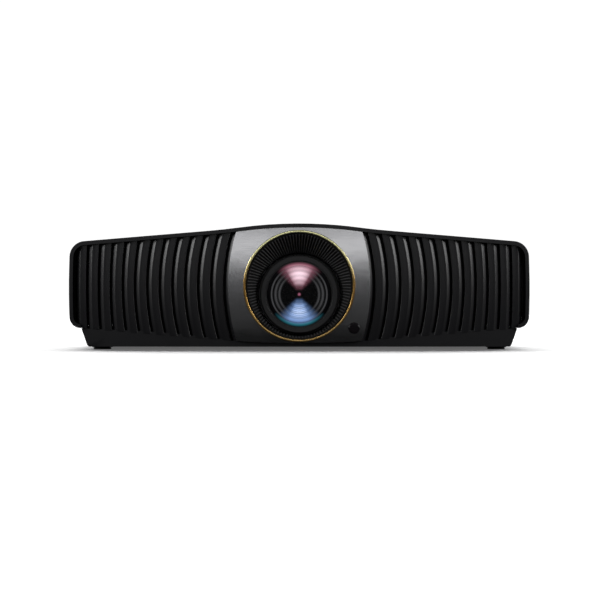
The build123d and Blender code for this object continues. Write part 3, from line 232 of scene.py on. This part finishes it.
def finish_piece(piece, node, material, replaced=()):
    """Puts a piece on the node's body, with this material."""
    piece.data.materials.clear()
    piece.data.materials.append(material)
    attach(piece, body_of_node[node])
    if replaced:
        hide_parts(*replaced)


def merged_copy(node, name):
    """A node's shape as one connected mesh with large flat faces."""
    bm = bmesh.new()
    bm.from_mesh(frame["nodes"][node].data)
    bmesh.ops.remove_doubles(bm, verts=bm.verts, dist=0.003 * MM)
    bmesh.ops.dissolve_limit(bm, angle_limit=math.radians(0.6), verts=bm.verts, edges=bm.edges)
    return mesh_object(name, bm)


def rounded(node, material, edge):
    """The node with its corners rounded by edge millimetres, standing for the plain one."""
    corner_angle = 38
    piece = merged_copy(node, f"{node}_shell")
    smooth(piece, corner_angle)
    bevel = piece.modifiers.new("edges", "BEVEL")
    bevel.width, bevel.segments = edge * MM, 2
    bevel.limit_method, bevel.angle_limit = "ANGLE", math.radians(corner_angle)
    bevel.harden_normals = True
    finish_piece(piece, node, material, [node])


def turned(name, profile, centre_z, steps=128):
    """Closed (radius, y) profile turned about an axis along Y, at this height in the middle plane."""
    bm = bmesh.new()
    verts = [bm.verts.new((0.0, y, centre_z + r)) for r, y in profile]
    edges = [bm.edges.new(pair) for pair in zip(verts, verts[1:] + verts[:1])]
    bmesh.ops.spin(bm, geom=verts + edges, cent=(0, 0, centre_z), axis=(0, 1, 0),
                   angle=math.tau, steps=steps)
    bmesh.ops.remove_doubles(bm, verts=bm.verts, dist=0.004 * MM)
    bmesh.ops.delete(bm, geom=[e for e in bm.edges if not e.link_faces], context="EDGES")
    bmesh.ops.recalc_face_normals(bm, faces=bm.faces)
    return mesh_object(name, bm)


# ---------------------------------------------------------------- finishes
def finish_nodes(name):
    """New material: its tree, shader and Object coordinates."""
    material = bpy.data.materials.new(name)
    material.use_nodes = True
    tree = material.node_tree
    coordinates = tree.nodes.new("ShaderNodeTexCoord")
    return material, tree, tree.nodes["Principled BSDF"], coordinates.outputs["Object"]


def noise(tree, place, scale, detail=3.0, stretch=None):
    """Noise at a scale given in features per metre, stretched along the axes if asked."""
    node = tree.nodes.new("ShaderNodeTexNoise")
    node.inputs["Scale"].default_value, node.inputs["Detail"].default_value = scale, detail
    if stretch:
        mapping = tree.nodes.new("ShaderNodeMapping")
        mapping.inputs["Scale"].default_value = stretch
        tree.links.new(place, mapping.inputs["Vector"])
        place = mapping.outputs[0]
    tree.links.new(place, node.inputs["Vector"])
    return Field(tree, node.outputs[0])


def blend_colours(tree, share, first, second):
    """Colour between two colours by a field."""
    mix = tree.nodes.new("ShaderNodeMix")
    mix.data_type = "RGBA"
    mix.inputs[6].default_value, mix.inputs[7].default_value = (*first, 1), (*second, 1)
    tree.links.new(share.socket, mix.inputs[0])
    return mix.outputs[2]


def surface(name, low, high, rough, metal=0.0, spread=60, grain=1400, depth=0.02, stretch=None,
            specular=0.5):
    """Moulded or machined finish: slow colour drift from low to high, fine grain in gloss and relief."""
    material, tree, shader, place = finish_nodes(name)
    drift = noise(tree, place, spread, 4.0, stretch)
    fine = noise(tree, place, grain, 2.0, stretch)
    tree.links.new(blend_colours(tree, drift, low, high), shader.inputs["Base Color"])
    gloss = Field(tree, fine.socket) * (rough[1] - rough[0]) + rough[0]
    tree.links.new(gloss.socket, shader.inputs["Roughness"])
    bump = tree.nodes.new("ShaderNodeBump")
    bump.inputs["Strength"].default_value = 0.35
    bump.inputs["Distance"].default_value = depth * MM
    tree.links.new(fine.socket, bump.inputs["Height"])
    tree.links.new(bump.outputs[0], shader.inputs["Normal"])
    shader.inputs["Metallic"].default_value = metal
    shader.inputs["Specular IOR Level"].default_value = specular
    return material


def glass(name, tint, see_through=1.0, specular=0.5):
    """Clear or tinted glass with faint wipe marks in its gloss."""
    material, tree, shader, place = finish_nodes(name)
    clean, smeared = 0.02, 0.02
    haze = noise(tree, place, 90, 5.0) * smeared + clean
    tree.links.new(haze.socket, shader.inputs["Roughness"])
    shader.inputs["Base Color"].default_value = (*tint, 1)
    shader.inputs["IOR"].default_value = 1.45
    shader.inputs["Transmission Weight"].default_value = see_through
    shader.inputs["Specular IOR Level"].default_value = specular
    return material


cover_black = surface("satin_black_cover", (0.006, 0.006, 0.007), (0.009, 0.009, 0.010), (0.30, 0.42),
                      grain=2200, specular=0.35)
tray_black = surface("matt_black_tray", (0.006, 0.006, 0.007), (0.010, 0.010, 0.011), (0.42, 0.55),
                     grain=1800, specular=0.3)
slat_black = surface("satin_black_slat", (0.005, 0.005, 0.006), (0.007, 0.007, 0.008), (0.28, 0.38),
                     grain=2200, specular=0.33)
# black painted darker than the slats as painted shade in the recess behind them
recess_painted_shade = surface("black_with_painted_recess_shade", (0.002, 0.002, 0.002), (0.003, 0.003, 0.003), (0.6, 0.7),
                       specular=0.1)
gunmetal = surface("brushed_gunmetal", (0.38, 0.38, 0.39), (0.44, 0.44, 0.45), (0.16, 0.22), 1.0,
                   spread=30, grain=900, depth=0.01, stretch=(0.05, 1, 1))
gold = surface("orange_gold", (0.40, 0.23, 0.06), (0.46, 0.27, 0.08), (0.24, 0.28), 1.0, spread=25,
               grain=300, depth=0.001)
# painted highlight tint for the top of the gold ring and painted reflection tint for its foot
painted_highlight_gold, painted_reflection_gold = (1.0, 0.97, 0.52, 1), (1.0, 0.66, 0.24, 1)
funnel_black = surface("funnel_black", (0.004, 0.004, 0.004), (0.006, 0.006, 0.006), (0.5, 0.6),
                       specular=0.15)
# the funnel's black, painted lighter on the ribs as a painted highlight
rib_painted_highlight = surface("rib_painted_highlight", (0.040, 0.040, 0.041), (0.054, 0.054, 0.055), (0.38, 0.48),
                    specular=0.45)
lens_black = surface("anodised_black", (0.008, 0.008, 0.009), (0.013, 0.013, 0.014), (0.34, 0.44),
                     spread=40, grain=2600, depth=0.01)
steel = surface("zinc_steel", (0.50, 0.50, 0.52), (0.60, 0.60, 0.61), (0.28, 0.40), 1.0)
cast_metal = surface("cast_aluminium", (0.40, 0.41, 0.42), (0.50, 0.51, 0.52), (0.45, 0.60), 1.0,
                     grain=900, depth=0.06)
brass = surface("plain_brass", (0.70, 0.50, 0.22), (0.78, 0.58, 0.28), (0.25, 0.38), 1.0)
rubber = surface("foot_rubber", (0.008, 0.008, 0.008), (0.014, 0.014, 0.014), (0.65, 0.8), grain=1200,
                 depth=0.05)
board_green = surface("circuit_board", (0.010, 0.065, 0.030), (0.016, 0.090, 0.042), (0.30, 0.42),
                      spread=240)
connector = surface("connector_shell", (0.05, 0.05, 0.055), (0.09, 0.09, 0.10), (0.32, 0.45), 0.4)
fan_plastic = surface("fan_plastic", (0.012, 0.012, 0.013), (0.020, 0.020, 0.021), (0.35, 0.48))
key_grey = surface("key_grey", (0.10, 0.10, 0.105), (0.13, 0.13, 0.135), (0.35, 0.45))
reflector = surface("silvered_reflector", (0.82, 0.82, 0.84), (0.88, 0.88, 0.89), (0.06, 0.14), 1.0,
                    depth=0.004)
indicator_clear = surface("indicator_lens", (0.30, 0.33, 0.30), (0.38, 0.41, 0.38), (0.15, 0.22))
window_black = surface("smoked_window", (0.003, 0.002, 0.003), (0.005, 0.004, 0.005), (0.10, 0.16),
                       specular=0.3)
lens_glass = glass("lens_glass", (0.97, 0.98, 1.0), specular=0.0)
wheel_glass = glass("wheel_glass", (0.75, 0.85, 0.95), see_through=0.8)

finish_of_slot = {
    "cover_black": cover_black, "tray_black": tray_black, "grille_black": slat_black, "gunmetal": gunmetal,
    "gold_trim": gold, "funnel_black": funnel_black, "smoked_window": window_black, "steel": steel,
    "brass": brass, "circuit_board": board_green, "indicator": indicator_clear, "cast_metal": cast_metal,
    "lens_black": lens_black, "lens_glass": lens_glass, "wheel_glass": wheel_glass, "reflector": reflector,
    "connector": connector, "fan_plastic": fan_plastic, "rubber": rubber, "button": key_grey,
}


# ---------------------------------------------------------------- casing, feet and keys
corner_rounding = {
    "top_cover": 0.5, "base_tray": 0.6, "rear_panel": 0.3, "lens_panel": 0.5, "lens_access_door": 0.4,
    "lamp_door": 0.4, "keypad_bezel": 0.3, "left_foot_screw": 0.3, "right_foot_screw": 0.3,
    "left_foot_pad": 0.4, "right_foot_pad": 0.4, "rear_feet": 0.4, "ir_window": 0.3,
    **{f"{key}_button": 0.3 for key in ("power", "menu", "ok", "up", "down", "left", "right")},
}
for node, edge in corner_rounding.items():
    rounded(node, finish_of_slot[slot_of_node[node]], edge)


# ---------------------------------------------------------------- grilles
def front_at(x, z, inset):
    """Y of the dished front at x and z, set back by inset. Works on numbers and on fields."""
    rise = z - front_middle_z
    return x * x / (2 * front_plan_radius) + rise * rise / (2 * front_profile_radius) + front_y + inset


def slat_bar(name):
    """One bar in its own sizes: X is the share of its width, Y its depth, Z its height."""
    depth, foot, step, rows = 6.6 * MM, -6 * MM, 3 * MM, 50
    section = [(0.0, depth), (0.0, 0.6 * MM), (0.03, 0.15 * MM), (0.07, 0.0), (0.64, 0.0),
               (0.68, 0.10 * MM), (0.72, 0.32 * MM), (0.80, 0.86 * MM), (0.88, 1.42 * MM),
               (0.96, 2.0 * MM), (1.0, 2.5 * MM), (1.0, depth)]
    bm = bmesh.new()
    levels = [foot + step * i for i in range(rows)]
    loops = [[bm.verts.new((s, d, z)) for s, d in section] for z in levels]
    for low, high in zip(loops, loops[1:]):
        for a, b, c, d in zip(low, low[1:] + low[:1], high[1:] + high[:1], high):
            bm.faces.new((a, b, c, d))
    bm.faces.new(loops[0][::-1])
    bm.faces.new(loops[-1])
    bmesh.ops.recalc_face_normals(bm, faces=bm.faces)
    return mesh_object(name, bm)


def slat_tree(side, sizes):
    """Bars side by side between curved gaps, each following the dished front."""
    tree, seed, out, size = geometry_tree("slat_row", sizes)
    bars, place = repeat_along_index(tree, seed, size["slats"])
    share, depth, z = position_fields(tree)
    rise = (z - size["middle height"]).squared()

    def gap_edge(index, way):
        growth = (index / size["slats"]).op("POWER", 6.0)
        radius = size["curve radius"] * (size["curve growth"] * growth + 1.0)
        middle = size["first gap"] - size["first trim"] * index.op("MINIMUM", 1.0)
        middle = middle + size["pitch"] * index - size["taper"] * index.squared()
        return middle + size["gap"] * (0.5 * way) - (radius - (radius.squared() - rise).root())

    x = gap_edge(place, 1).toward(gap_edge(place + 1.0, -1), share)
    y = front_at(x, z, 0.0) + size["inset"] + depth
    finish_tree(tree, bars, out, (x * float(side), y, z), slat_black)
    return tree


def opening_prism(node):
    """Closed block with the outline of the grille, for trimming the bars."""
    low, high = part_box(node)
    reach = 20 * MM
    bm = bmesh.new()
    for vert in frame["nodes"][node].data.vertices:
        for y in (low.y - reach, high.y + reach):
            bm.verts.new((vert.co.x, y, vert.co.z))
    bmesh.ops.remove_doubles(bm, verts=bm.verts, dist=0.01 * MM)
    hull = bmesh.ops.convex_hull(bm, input=bm.verts)
    spare = {v for v in hull["geom_interior"] + hull["geom_unused"] if isinstance(v, bmesh.types.BMVert)}
    bmesh.ops.delete(bm, geom=list(spare), context="VERTS")
    return mesh_object(f"{node}_outline", bm)


def make_grille(node, side):
    """Curved slats with a rounded outer edge, and the rim and braces that hold them."""
    low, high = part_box(node)
    inner = low.x if side > 0 else -high.x
    first_trim, taper, slats = 2.6 * MM, 0.08 * MM, 13
    slat_inset, carrier_inset, rim_width = 3.5 * MM, 9.5 * MM, 7.2 * MM
    first, last = inner + 0.9 * MM, cad_high.x - rim_width
    pitch = (last - first + first_trim) / slats + taper * slats
    sizes = {"slats": slats, "first gap": first, "first trim": first_trim, "pitch": pitch, "taper": taper,
             "gap": 2.4 * MM, "curve radius": 207 * MM, "curve growth": 6.0, "middle height": 68 * MM,
             "inset": slat_inset}
    bars = grown(f"{node}_slats", slat_bar("slat"), slat_tree(side, sizes), sizes)
    if side < 0:
        bars.data.flip_normals()
    prism = opening_prism(node)
    trim = bars.modifiers.new("trim", "BOOLEAN")
    trim.operation, trim.object, trim.solver = "INTERSECT", prism, "EXACT"
    mesh = bpy.data.meshes.new_from_object(bars.evaluated_get(bpy.context.evaluated_depsgraph_get()))
    bpy.data.objects.remove(bars)
    bpy.data.objects.remove(prism)
    bars = add_object(f"{node}_slats", mesh)
    smooth(bars, 40)
    edge = bars.modifiers.new("edges", "BEVEL")
    edge.width, edge.segments = 0.5 * MM, 2
    edge.limit_method, edge.angle_limit = "ANGLE", math.radians(50)
    finish_piece(bars, node, slat_black)

    carrier = merged_copy(node, f"{node}_carrier")
    for vert in carrier.data.vertices:
        vert.co.y = max(vert.co.y, front_at(vert.co.x, vert.co.z, carrier_inset))
    smooth(carrier, 35)
    # the carrier sits in the recess and is painted darker as painted shade
    finish_piece(carrier, node, recess_painted_shade, [node])


make_grille("right_grille", 1)
make_grille("left_grille", -1)


# ---------------------------------------------------------------- lens opening
def paint_gold_ring_light():
    """Gold with painted light: paler towards the top of the ring as a painted highlight, warmer at its
    foot as a painted reflection, and darkest at the sides, which keep the plain gold.
    """
    tree = gold.node_tree
    shader = tree.nodes["Principled BSDF"]
    place, split = tree.nodes.new("ShaderNodeTexCoord"), tree.nodes.new("ShaderNodeSeparateXYZ")
    tree.links.new(place.outputs["Object"], split.inputs[0])
    upward = (Field(tree, split.outputs[2]) - ring_z) / ring_radius
    # mixes the painted highlight in at the top and the painted reflection at the foot
    for share, tint in ((upward * 1.5 - 0.1, painted_highlight_gold), (upward * -1.5 - 0.3, painted_reflection_gold)):
        mix = tree.nodes.new("ShaderNodeMix")
        mix.data_type = "RGBA"
        mix.inputs[7].default_value = tint
        tree.links.new(share.op("MAXIMUM", 0.0).op("MINIMUM", 1.0).socket, mix.inputs[0])
        tree.links.new(shader.inputs["Base Color"].links[0].from_socket, mix.inputs[6])
        tree.links.new(mix.outputs[2], shader.inputs["Base Color"])


def make_accent_ring():
    """Gold band whose face leans back a little towards its outer edge."""
    paint_gold_ring_light()
    outer, inner = ring_radius, ring_radius - 2.5 * MM
    arc = [math.radians(a) for a in (0, 22, 45, 68, 90)]
    round_in, round_out, lean = 0.45 * MM, 0.5 * MM, 0.1 * MM
    profile = [(inner + round_in * (1 - math.cos(a)), ring_low.y + round_in * (1 - math.sin(a)))
               for a in arc]
    profile += [(outer - round_out * (1 - math.sin(a)),
                 ring_low.y + lean + round_out * (1 - math.cos(a))) for a in arc]
    profile += [(outer, ring_high.y), (inner, ring_high.y)]
    piece = turned("accent_ring_band", profile, ring_z, steps=160)
    smooth(piece, 40)
    finish_piece(piece, "accent_ring", gold, ["accent_ring"])


def rib_seed():
    """One rib in its own sizes: X across, Y the share of the way in, Z its height."""
    section = [(-0.5, -0.3), (-0.46, 0.25), (-0.3, 0.8), (0.0, 1.0), (0.3, 0.8), (0.46, 0.25),
               (0.5, -0.3)]
    bm = bmesh.new()
    shares = (0.0, 0.06, 0.3, 0.55, 0.8, 0.9, 1.0)
    loops = [[bm.verts.new((x, share, z)) for x, z in section] for share in shares]
    for low, high in zip(loops, loops[1:]):
        for a, b, c, d in zip(low, low[1:] + low[:1], high[1:] + high[:1], high):
            bm.faces.new((a, b, c, d))
    bm.faces.new(loops[0])
    bm.faces.new(loops[-1][::-1])
    bmesh.ops.recalc_face_normals(bm, faces=bm.faces)
    return mesh_object("funnel_rib", bm)


def make_funnel_ribs():
    """Ribs down the offset funnel, all pointing at the middle of the ring, in black painted lighter than
    the funnel wall as a painted highlight.
    """
    mouth_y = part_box("lens_funnel")[0].y
    lens_shift_room, wall_and_ring = 3.78 * MM, 4.5 * MM
    sizes = {"ribs": 102, "mouth radius": ring_radius - wall_and_ring,
             "throat radius": cell_radius + lens_shift_room, "drop": ring_z - lens_z, "mouth y": mouth_y,
             "depth": 18.5 * MM, "rib width": 1.3 * MM, "rib height": 1.0 * MM}
    tree, seed, out, size = geometry_tree("funnel_ribs", sizes)
    ribs, place = repeat_along_index(tree, seed, size["ribs"])
    across, share, up = position_fields(tree)
    radius = size["mouth radius"].toward(size["throat radius"], share)
    angle = place * math.tau / size["ribs"] + across * size["rib width"] / radius
    sine, cosine = angle.op("SINE"), angle.op("COSINE")
    drop = size["drop"] * share
    fade = ((1.06 - share) * 2.5).op("MINIMUM", 1.0)
    reach = (radius.squared() - (drop * sine).squared()).root() - drop * cosine
    reach = reach - up * size["rib height"] * fade
    y = size["mouth y"] + size["depth"] * share
    finish_tree(tree, ribs, out, (reach * sine, y, reach * cosine + ring_z), rib_painted_highlight)
    piece = grown("funnel_ribs", rib_seed(), tree, sizes)
    piece.data.flip_normals()
    smooth(piece, 50)
    finish_piece(piece, "lens_funnel", rib_painted_highlight)


def paint_lens_reflections():
    """Inner lens surface that glows with painted reflections: a rose painted reflection over the top of
    the glass, a blue one under it, grey painted rings between.
    """
    material, tree, shader, place = finish_nodes("inner_glass_painted_reflections")
    split = tree.nodes.new("ShaderNodeSeparateXYZ")
    tree.links.new(place, split.inputs[0])
    x, z = Field(tree, split.outputs[0]), Field(tree, split.outputs[2]) - lens_z
    radius = (x.squared() + z.squared()).root()
    upward = z / (radius + 0.0001)
    out = radius / rim_radius

    def ramp(field, start, end):
        return ((field - start) / (end - start)).op("MINIMUM", 1.0).op("MAXIMUM", 0.0)

    def bump_at(field, middle, half_width):
        return (1.0 - ((field - middle) / half_width).op("ABSOLUTE")).op("MAXIMUM", 0.0)

    side = (x / (radius + 0.0001)).op("ABSOLUTE")
    ripple = (out * 42.0).op("SINE") * 0.14 + 0.86
    top, low_part = ramp(upward, 0.66, 0.94).squared(), ramp(upward, -0.64, -0.94).squared()
    rose = top * ramp(out, 0.10, 0.42) * ramp(out, 1.02, 0.90) * ripple
    rose_core = ramp(upward, 0.86, 1.0) * bump_at(out, 0.58, 0.36) * ripple
    blue = low_part * ramp(out, 0.10, 0.36) * ramp(out, 0.94, 0.82) * ripple
    blue_core = (ramp(upward, -0.88, -1.0) * bump_at(out, 0.52, 0.30)
                 * (out * 60.0).op("SINE").op("ABSOLUTE"))
    teal = ramp(upward, -0.60, -0.95) * bump_at(out, 0.94, 0.07)
    arcs = bump_at(out, 0.84, 0.035) * 1.6 + bump_at(out, 0.71, 0.06) + bump_at(out, 0.59, 0.05)
    grey = arcs * ramp(side, 0.35, 0.95)
    dot = bump_at(out, 0.0, 0.06)
    parts = ((rose, (0.36, 0.13, 0.18)), (rose_core, (1.0, 0.88, 0.94)), (blue, (0.19, 0.32, 0.62)),
             (blue_core, (0.55, 0.58, 0.62)), (teal, (0.02, 0.14, 0.18)), (grey, (0.06, 0.06, 0.062)),
             (dot, (0.45, 0.14, 0.22)))
    total = None
    for share, tint in parts:
        colour = blend_colours(tree, share, (0, 0, 0), tint)
        if total is None:
            total = colour
            continue
        add = tree.nodes.new("ShaderNodeMix")
        add.data_type, add.blend_type = "RGBA", "ADD"
        add.inputs[0].default_value = 1.0
        tree.links.new(total, add.inputs[6])
        tree.links.new(colour, add.inputs[7])
        total = add.outputs[2]
    # the summed colours are painted reflections, given off as glow; the lens holds no lamp
    tree.links.new(total, shader.inputs["Emission Color"])
    shader.inputs["Emission Strength"].default_value = 1.0
    shader.inputs["Base Color"].default_value = (0.004, 0.004, 0.005, 1)
    shader.inputs["Roughness"].default_value = 0.3
    shader.inputs["Specular IOR Level"].default_value = 0.04
    return material


def make_front_lens():
    """Glass dome in a stepped cell, with the inner glass behind it, which glows with painted reflections.
    """
    bulge = 4.5 * MM
    curve = (glass_radius**2 + bulge**2) / (2 * bulge)
    dome = [i / 12 * glass_radius for i in range(13)]
    profile = [(r, glass_low.y + curve - math.sqrt(curve**2 - r * r)) for r in dome]
    profile += [(glass_radius, glass_high.y), (0.0, glass_high.y)]
    piece = turned("front_lens_glass", profile, lens_z)
    smooth(piece, 30)
    finish_piece(piece, "front_lens_element", lens_glass, ["front_lens_element"])

    front = glass_high.y + 0.4 * MM
    rim, deep = glass_radius - 0.6 * MM, 9 * MM
    rings, tread, drop, crown = 5, 1.5 * MM, 0.9 * MM, 2.5 * MM
    stepped = [(rim, front)]
    for i in range(rings):
        r = rim - (i + 1) * tread
        stepped += [(r + tread / 3, front + i * drop), (r, front + (i + 1) * drop)]
    inner, floor_y = stepped[-1]
    shares = [1 - i / 10 for i in range(1, 11)]
    stepped += [(inner * share, floor_y - crown * (1 - share**2)) for share in shares]
    stepped += [(0.0, front + deep), (rim, front + deep)]
    painted_inner_lens = turned("inner_lens_painted_reflections", stepped, lens_z)
    smooth(painted_inner_lens, 25)
    finish_piece(painted_inner_lens, "front_lens_element", lens_reflection_paint)


def make_lens_rim():
    """Glass rim, glowing with the lens's painted reflections, that carries the dome's curve out to the
    groove of the cell.
    """
    inner, face = glass_radius + 0.15 * MM, cell_low.y + 0.9 * MM
    back = face + 1.5 * MM
    profile = [(inner, back), (inner, face - 0.1 * MM), (inner + 0.5 * MM, face - 0.25 * MM),
               (inner + 2.0 * MM, face), (rim_radius - 0.5 * MM, face + 0.4 * MM),
               (rim_radius, face + 0.9 * MM), (rim_radius, back)]
    piece = turned("front_lens_rim", profile, lens_z, steps=144)
    smooth(piece, 50)
    finish_piece(piece, "front_lens_cell", lens_reflection_paint)


# painted lens reflections, shared by the inner glass and its rim
lens_reflection_paint = paint_lens_reflections()
make_accent_ring()
make_lens_rim()
make_funnel_ribs()
make_front_lens()
rounded("front_lens_cell", lens_black, 0.3)


# ---------------------------------------------------------------- carried-over CAD nodes
for node, shape in frame["nodes"].items():
    if not shape.hide_render:
        shape.data.materials.clear()
        shape.data.materials.append(finish_of_slot[slot_of_node[node]])


# ---------------------------------------------------------------- floor and light
def make_floor():
    """White table. Only the camera sees it white, so that it throws little light back at the object."""
    material, tree, shader, place = finish_nodes("white_table")
    tone = noise(tree, place, 3)
    white = blend_colours(tree, tone, (0.88, 0.88, 0.88), (0.90, 0.90, 0.90))
    tree.links.new(white, shader.inputs["Base Color"])
    shader.inputs["Roughness"].default_value = 0.9
    shader.inputs["Specular IOR Level"].default_value = 0.1
    dim, path = tree.nodes.new("ShaderNodeBsdfDiffuse"), tree.nodes.new("ShaderNodeLightPath")
    dim.inputs["Color"].default_value = (0.045, 0.045, 0.045, 1)
    mix = tree.nodes.new("ShaderNodeMixShader")
    shader.inputs["Emission Color"].default_value = (1, 1, 1, 1)
    shader.inputs["Emission Strength"].default_value = 0.12
    tree.links.new(path.outputs["Is Camera Ray"], mix.inputs[0])
    tree.links.new(dim.outputs[0], mix.inputs[1])
    tree.links.new(shader.outputs[0], mix.inputs[2])
    tree.links.new(mix.outputs[0], tree.nodes["Material Output"].inputs[0])
    bm = bmesh.new()
    bmesh.ops.create_grid(bm, x_segments=8, y_segments=8, size=8)
    floor = mesh_object("table_top", bm)
    floor.data.materials.append(material)
    return floor


def softbox(name, size, power, place, target, unlit, mirrored=True):
    """Area light at the target, which leaves the unlit group alone. Gloss shows it only if mirrored."""
    data = bpy.data.lights.new(name, "AREA")
    data.shape, data.size, data.size_y, data.energy = "RECTANGLE", *size, power
    light = bpy.data.objects.new(name, data)
    light.location, light.visible_glossy, light.visible_transmission = place, mirrored, False
    light.light_linking.receiver_collection = unlit
    light.rotation_euler = (Vector(target) - Vector(place)).to_track_quat("-Z", "Y").to_euler()
    bpy.context.collection.objects.link(light)


def daylight(strength, spread, tilt):
    """Even light from above and behind, tilted from upright, so the table is equally white."""
    data = bpy.data.lights.new("even_top", "SUN")
    data.energy, data.angle = strength, math.radians(spread)
    light = bpy.data.objects.new("even_top", data)
    light.location = (0, 0, 3)
    light.rotation_euler = (math.radians(-tilt), 0, 0)
    bpy.context.collection.objects.link(light)


def make_light(floor):
    """Daylight for all, softboxes for all but the table and the lens glass, and a white backdrop."""
    middle = (0, 0, height / 2)
    unlit = bpy.data.collections.new("lit_by_daylight_only")
    for shape in (floor, bpy.data.objects["front_lens_glass"], bpy.data.objects["inner_lens_painted_reflections"]):
        unlit.objects.link(shape)
    for member in unlit.collection_objects:
        member.light_linking.link_state = "EXCLUDE"
    daylight(8.3, 60, 66)
    softbox("front_high", (3.2, 2.0), 21, (0, -4.0, 1.75), middle, unlit, mirrored=False)
    softbox("front_strip", (3.4, 0.42), 8.4, (0, -4.2, 0.72), middle, unlit)
    for side in (-1, 1):
        softbox("side_strip", (0.9, 1.0), 30, (side * 2.0, -1.0, 0.85), middle, unlit)
    world = bpy.data.worlds.new("studio")
    bpy.context.scene.world = world
    world.use_nodes = True
    tree = world.node_tree
    background = tree.nodes["Background"]
    seen, path = tree.nodes.new("ShaderNodeBackground"), tree.nodes.new("ShaderNodeLightPath")
    mix = tree.nodes.new("ShaderNodeMixShader")
    background.inputs["Color"].default_value = (0.9, 0.93, 1.0, 1)
    background.inputs["Strength"].default_value = 0.045
    seen.inputs["Color"].default_value, seen.inputs["Strength"].default_value = (1, 1, 1, 1), 1.05
    tree.links.new(path.outputs["Is Camera Ray"], mix.inputs[0])
    tree.links.new(background.outputs[0], mix.inputs[1])
    tree.links.new(seen.outputs[0], mix.inputs[2])
    tree.links.new(mix.outputs[0], tree.nodes["World Output"].inputs[0])
    bpy.context.scene.view_settings.view_transform = "Standard"


make_light(make_floor())
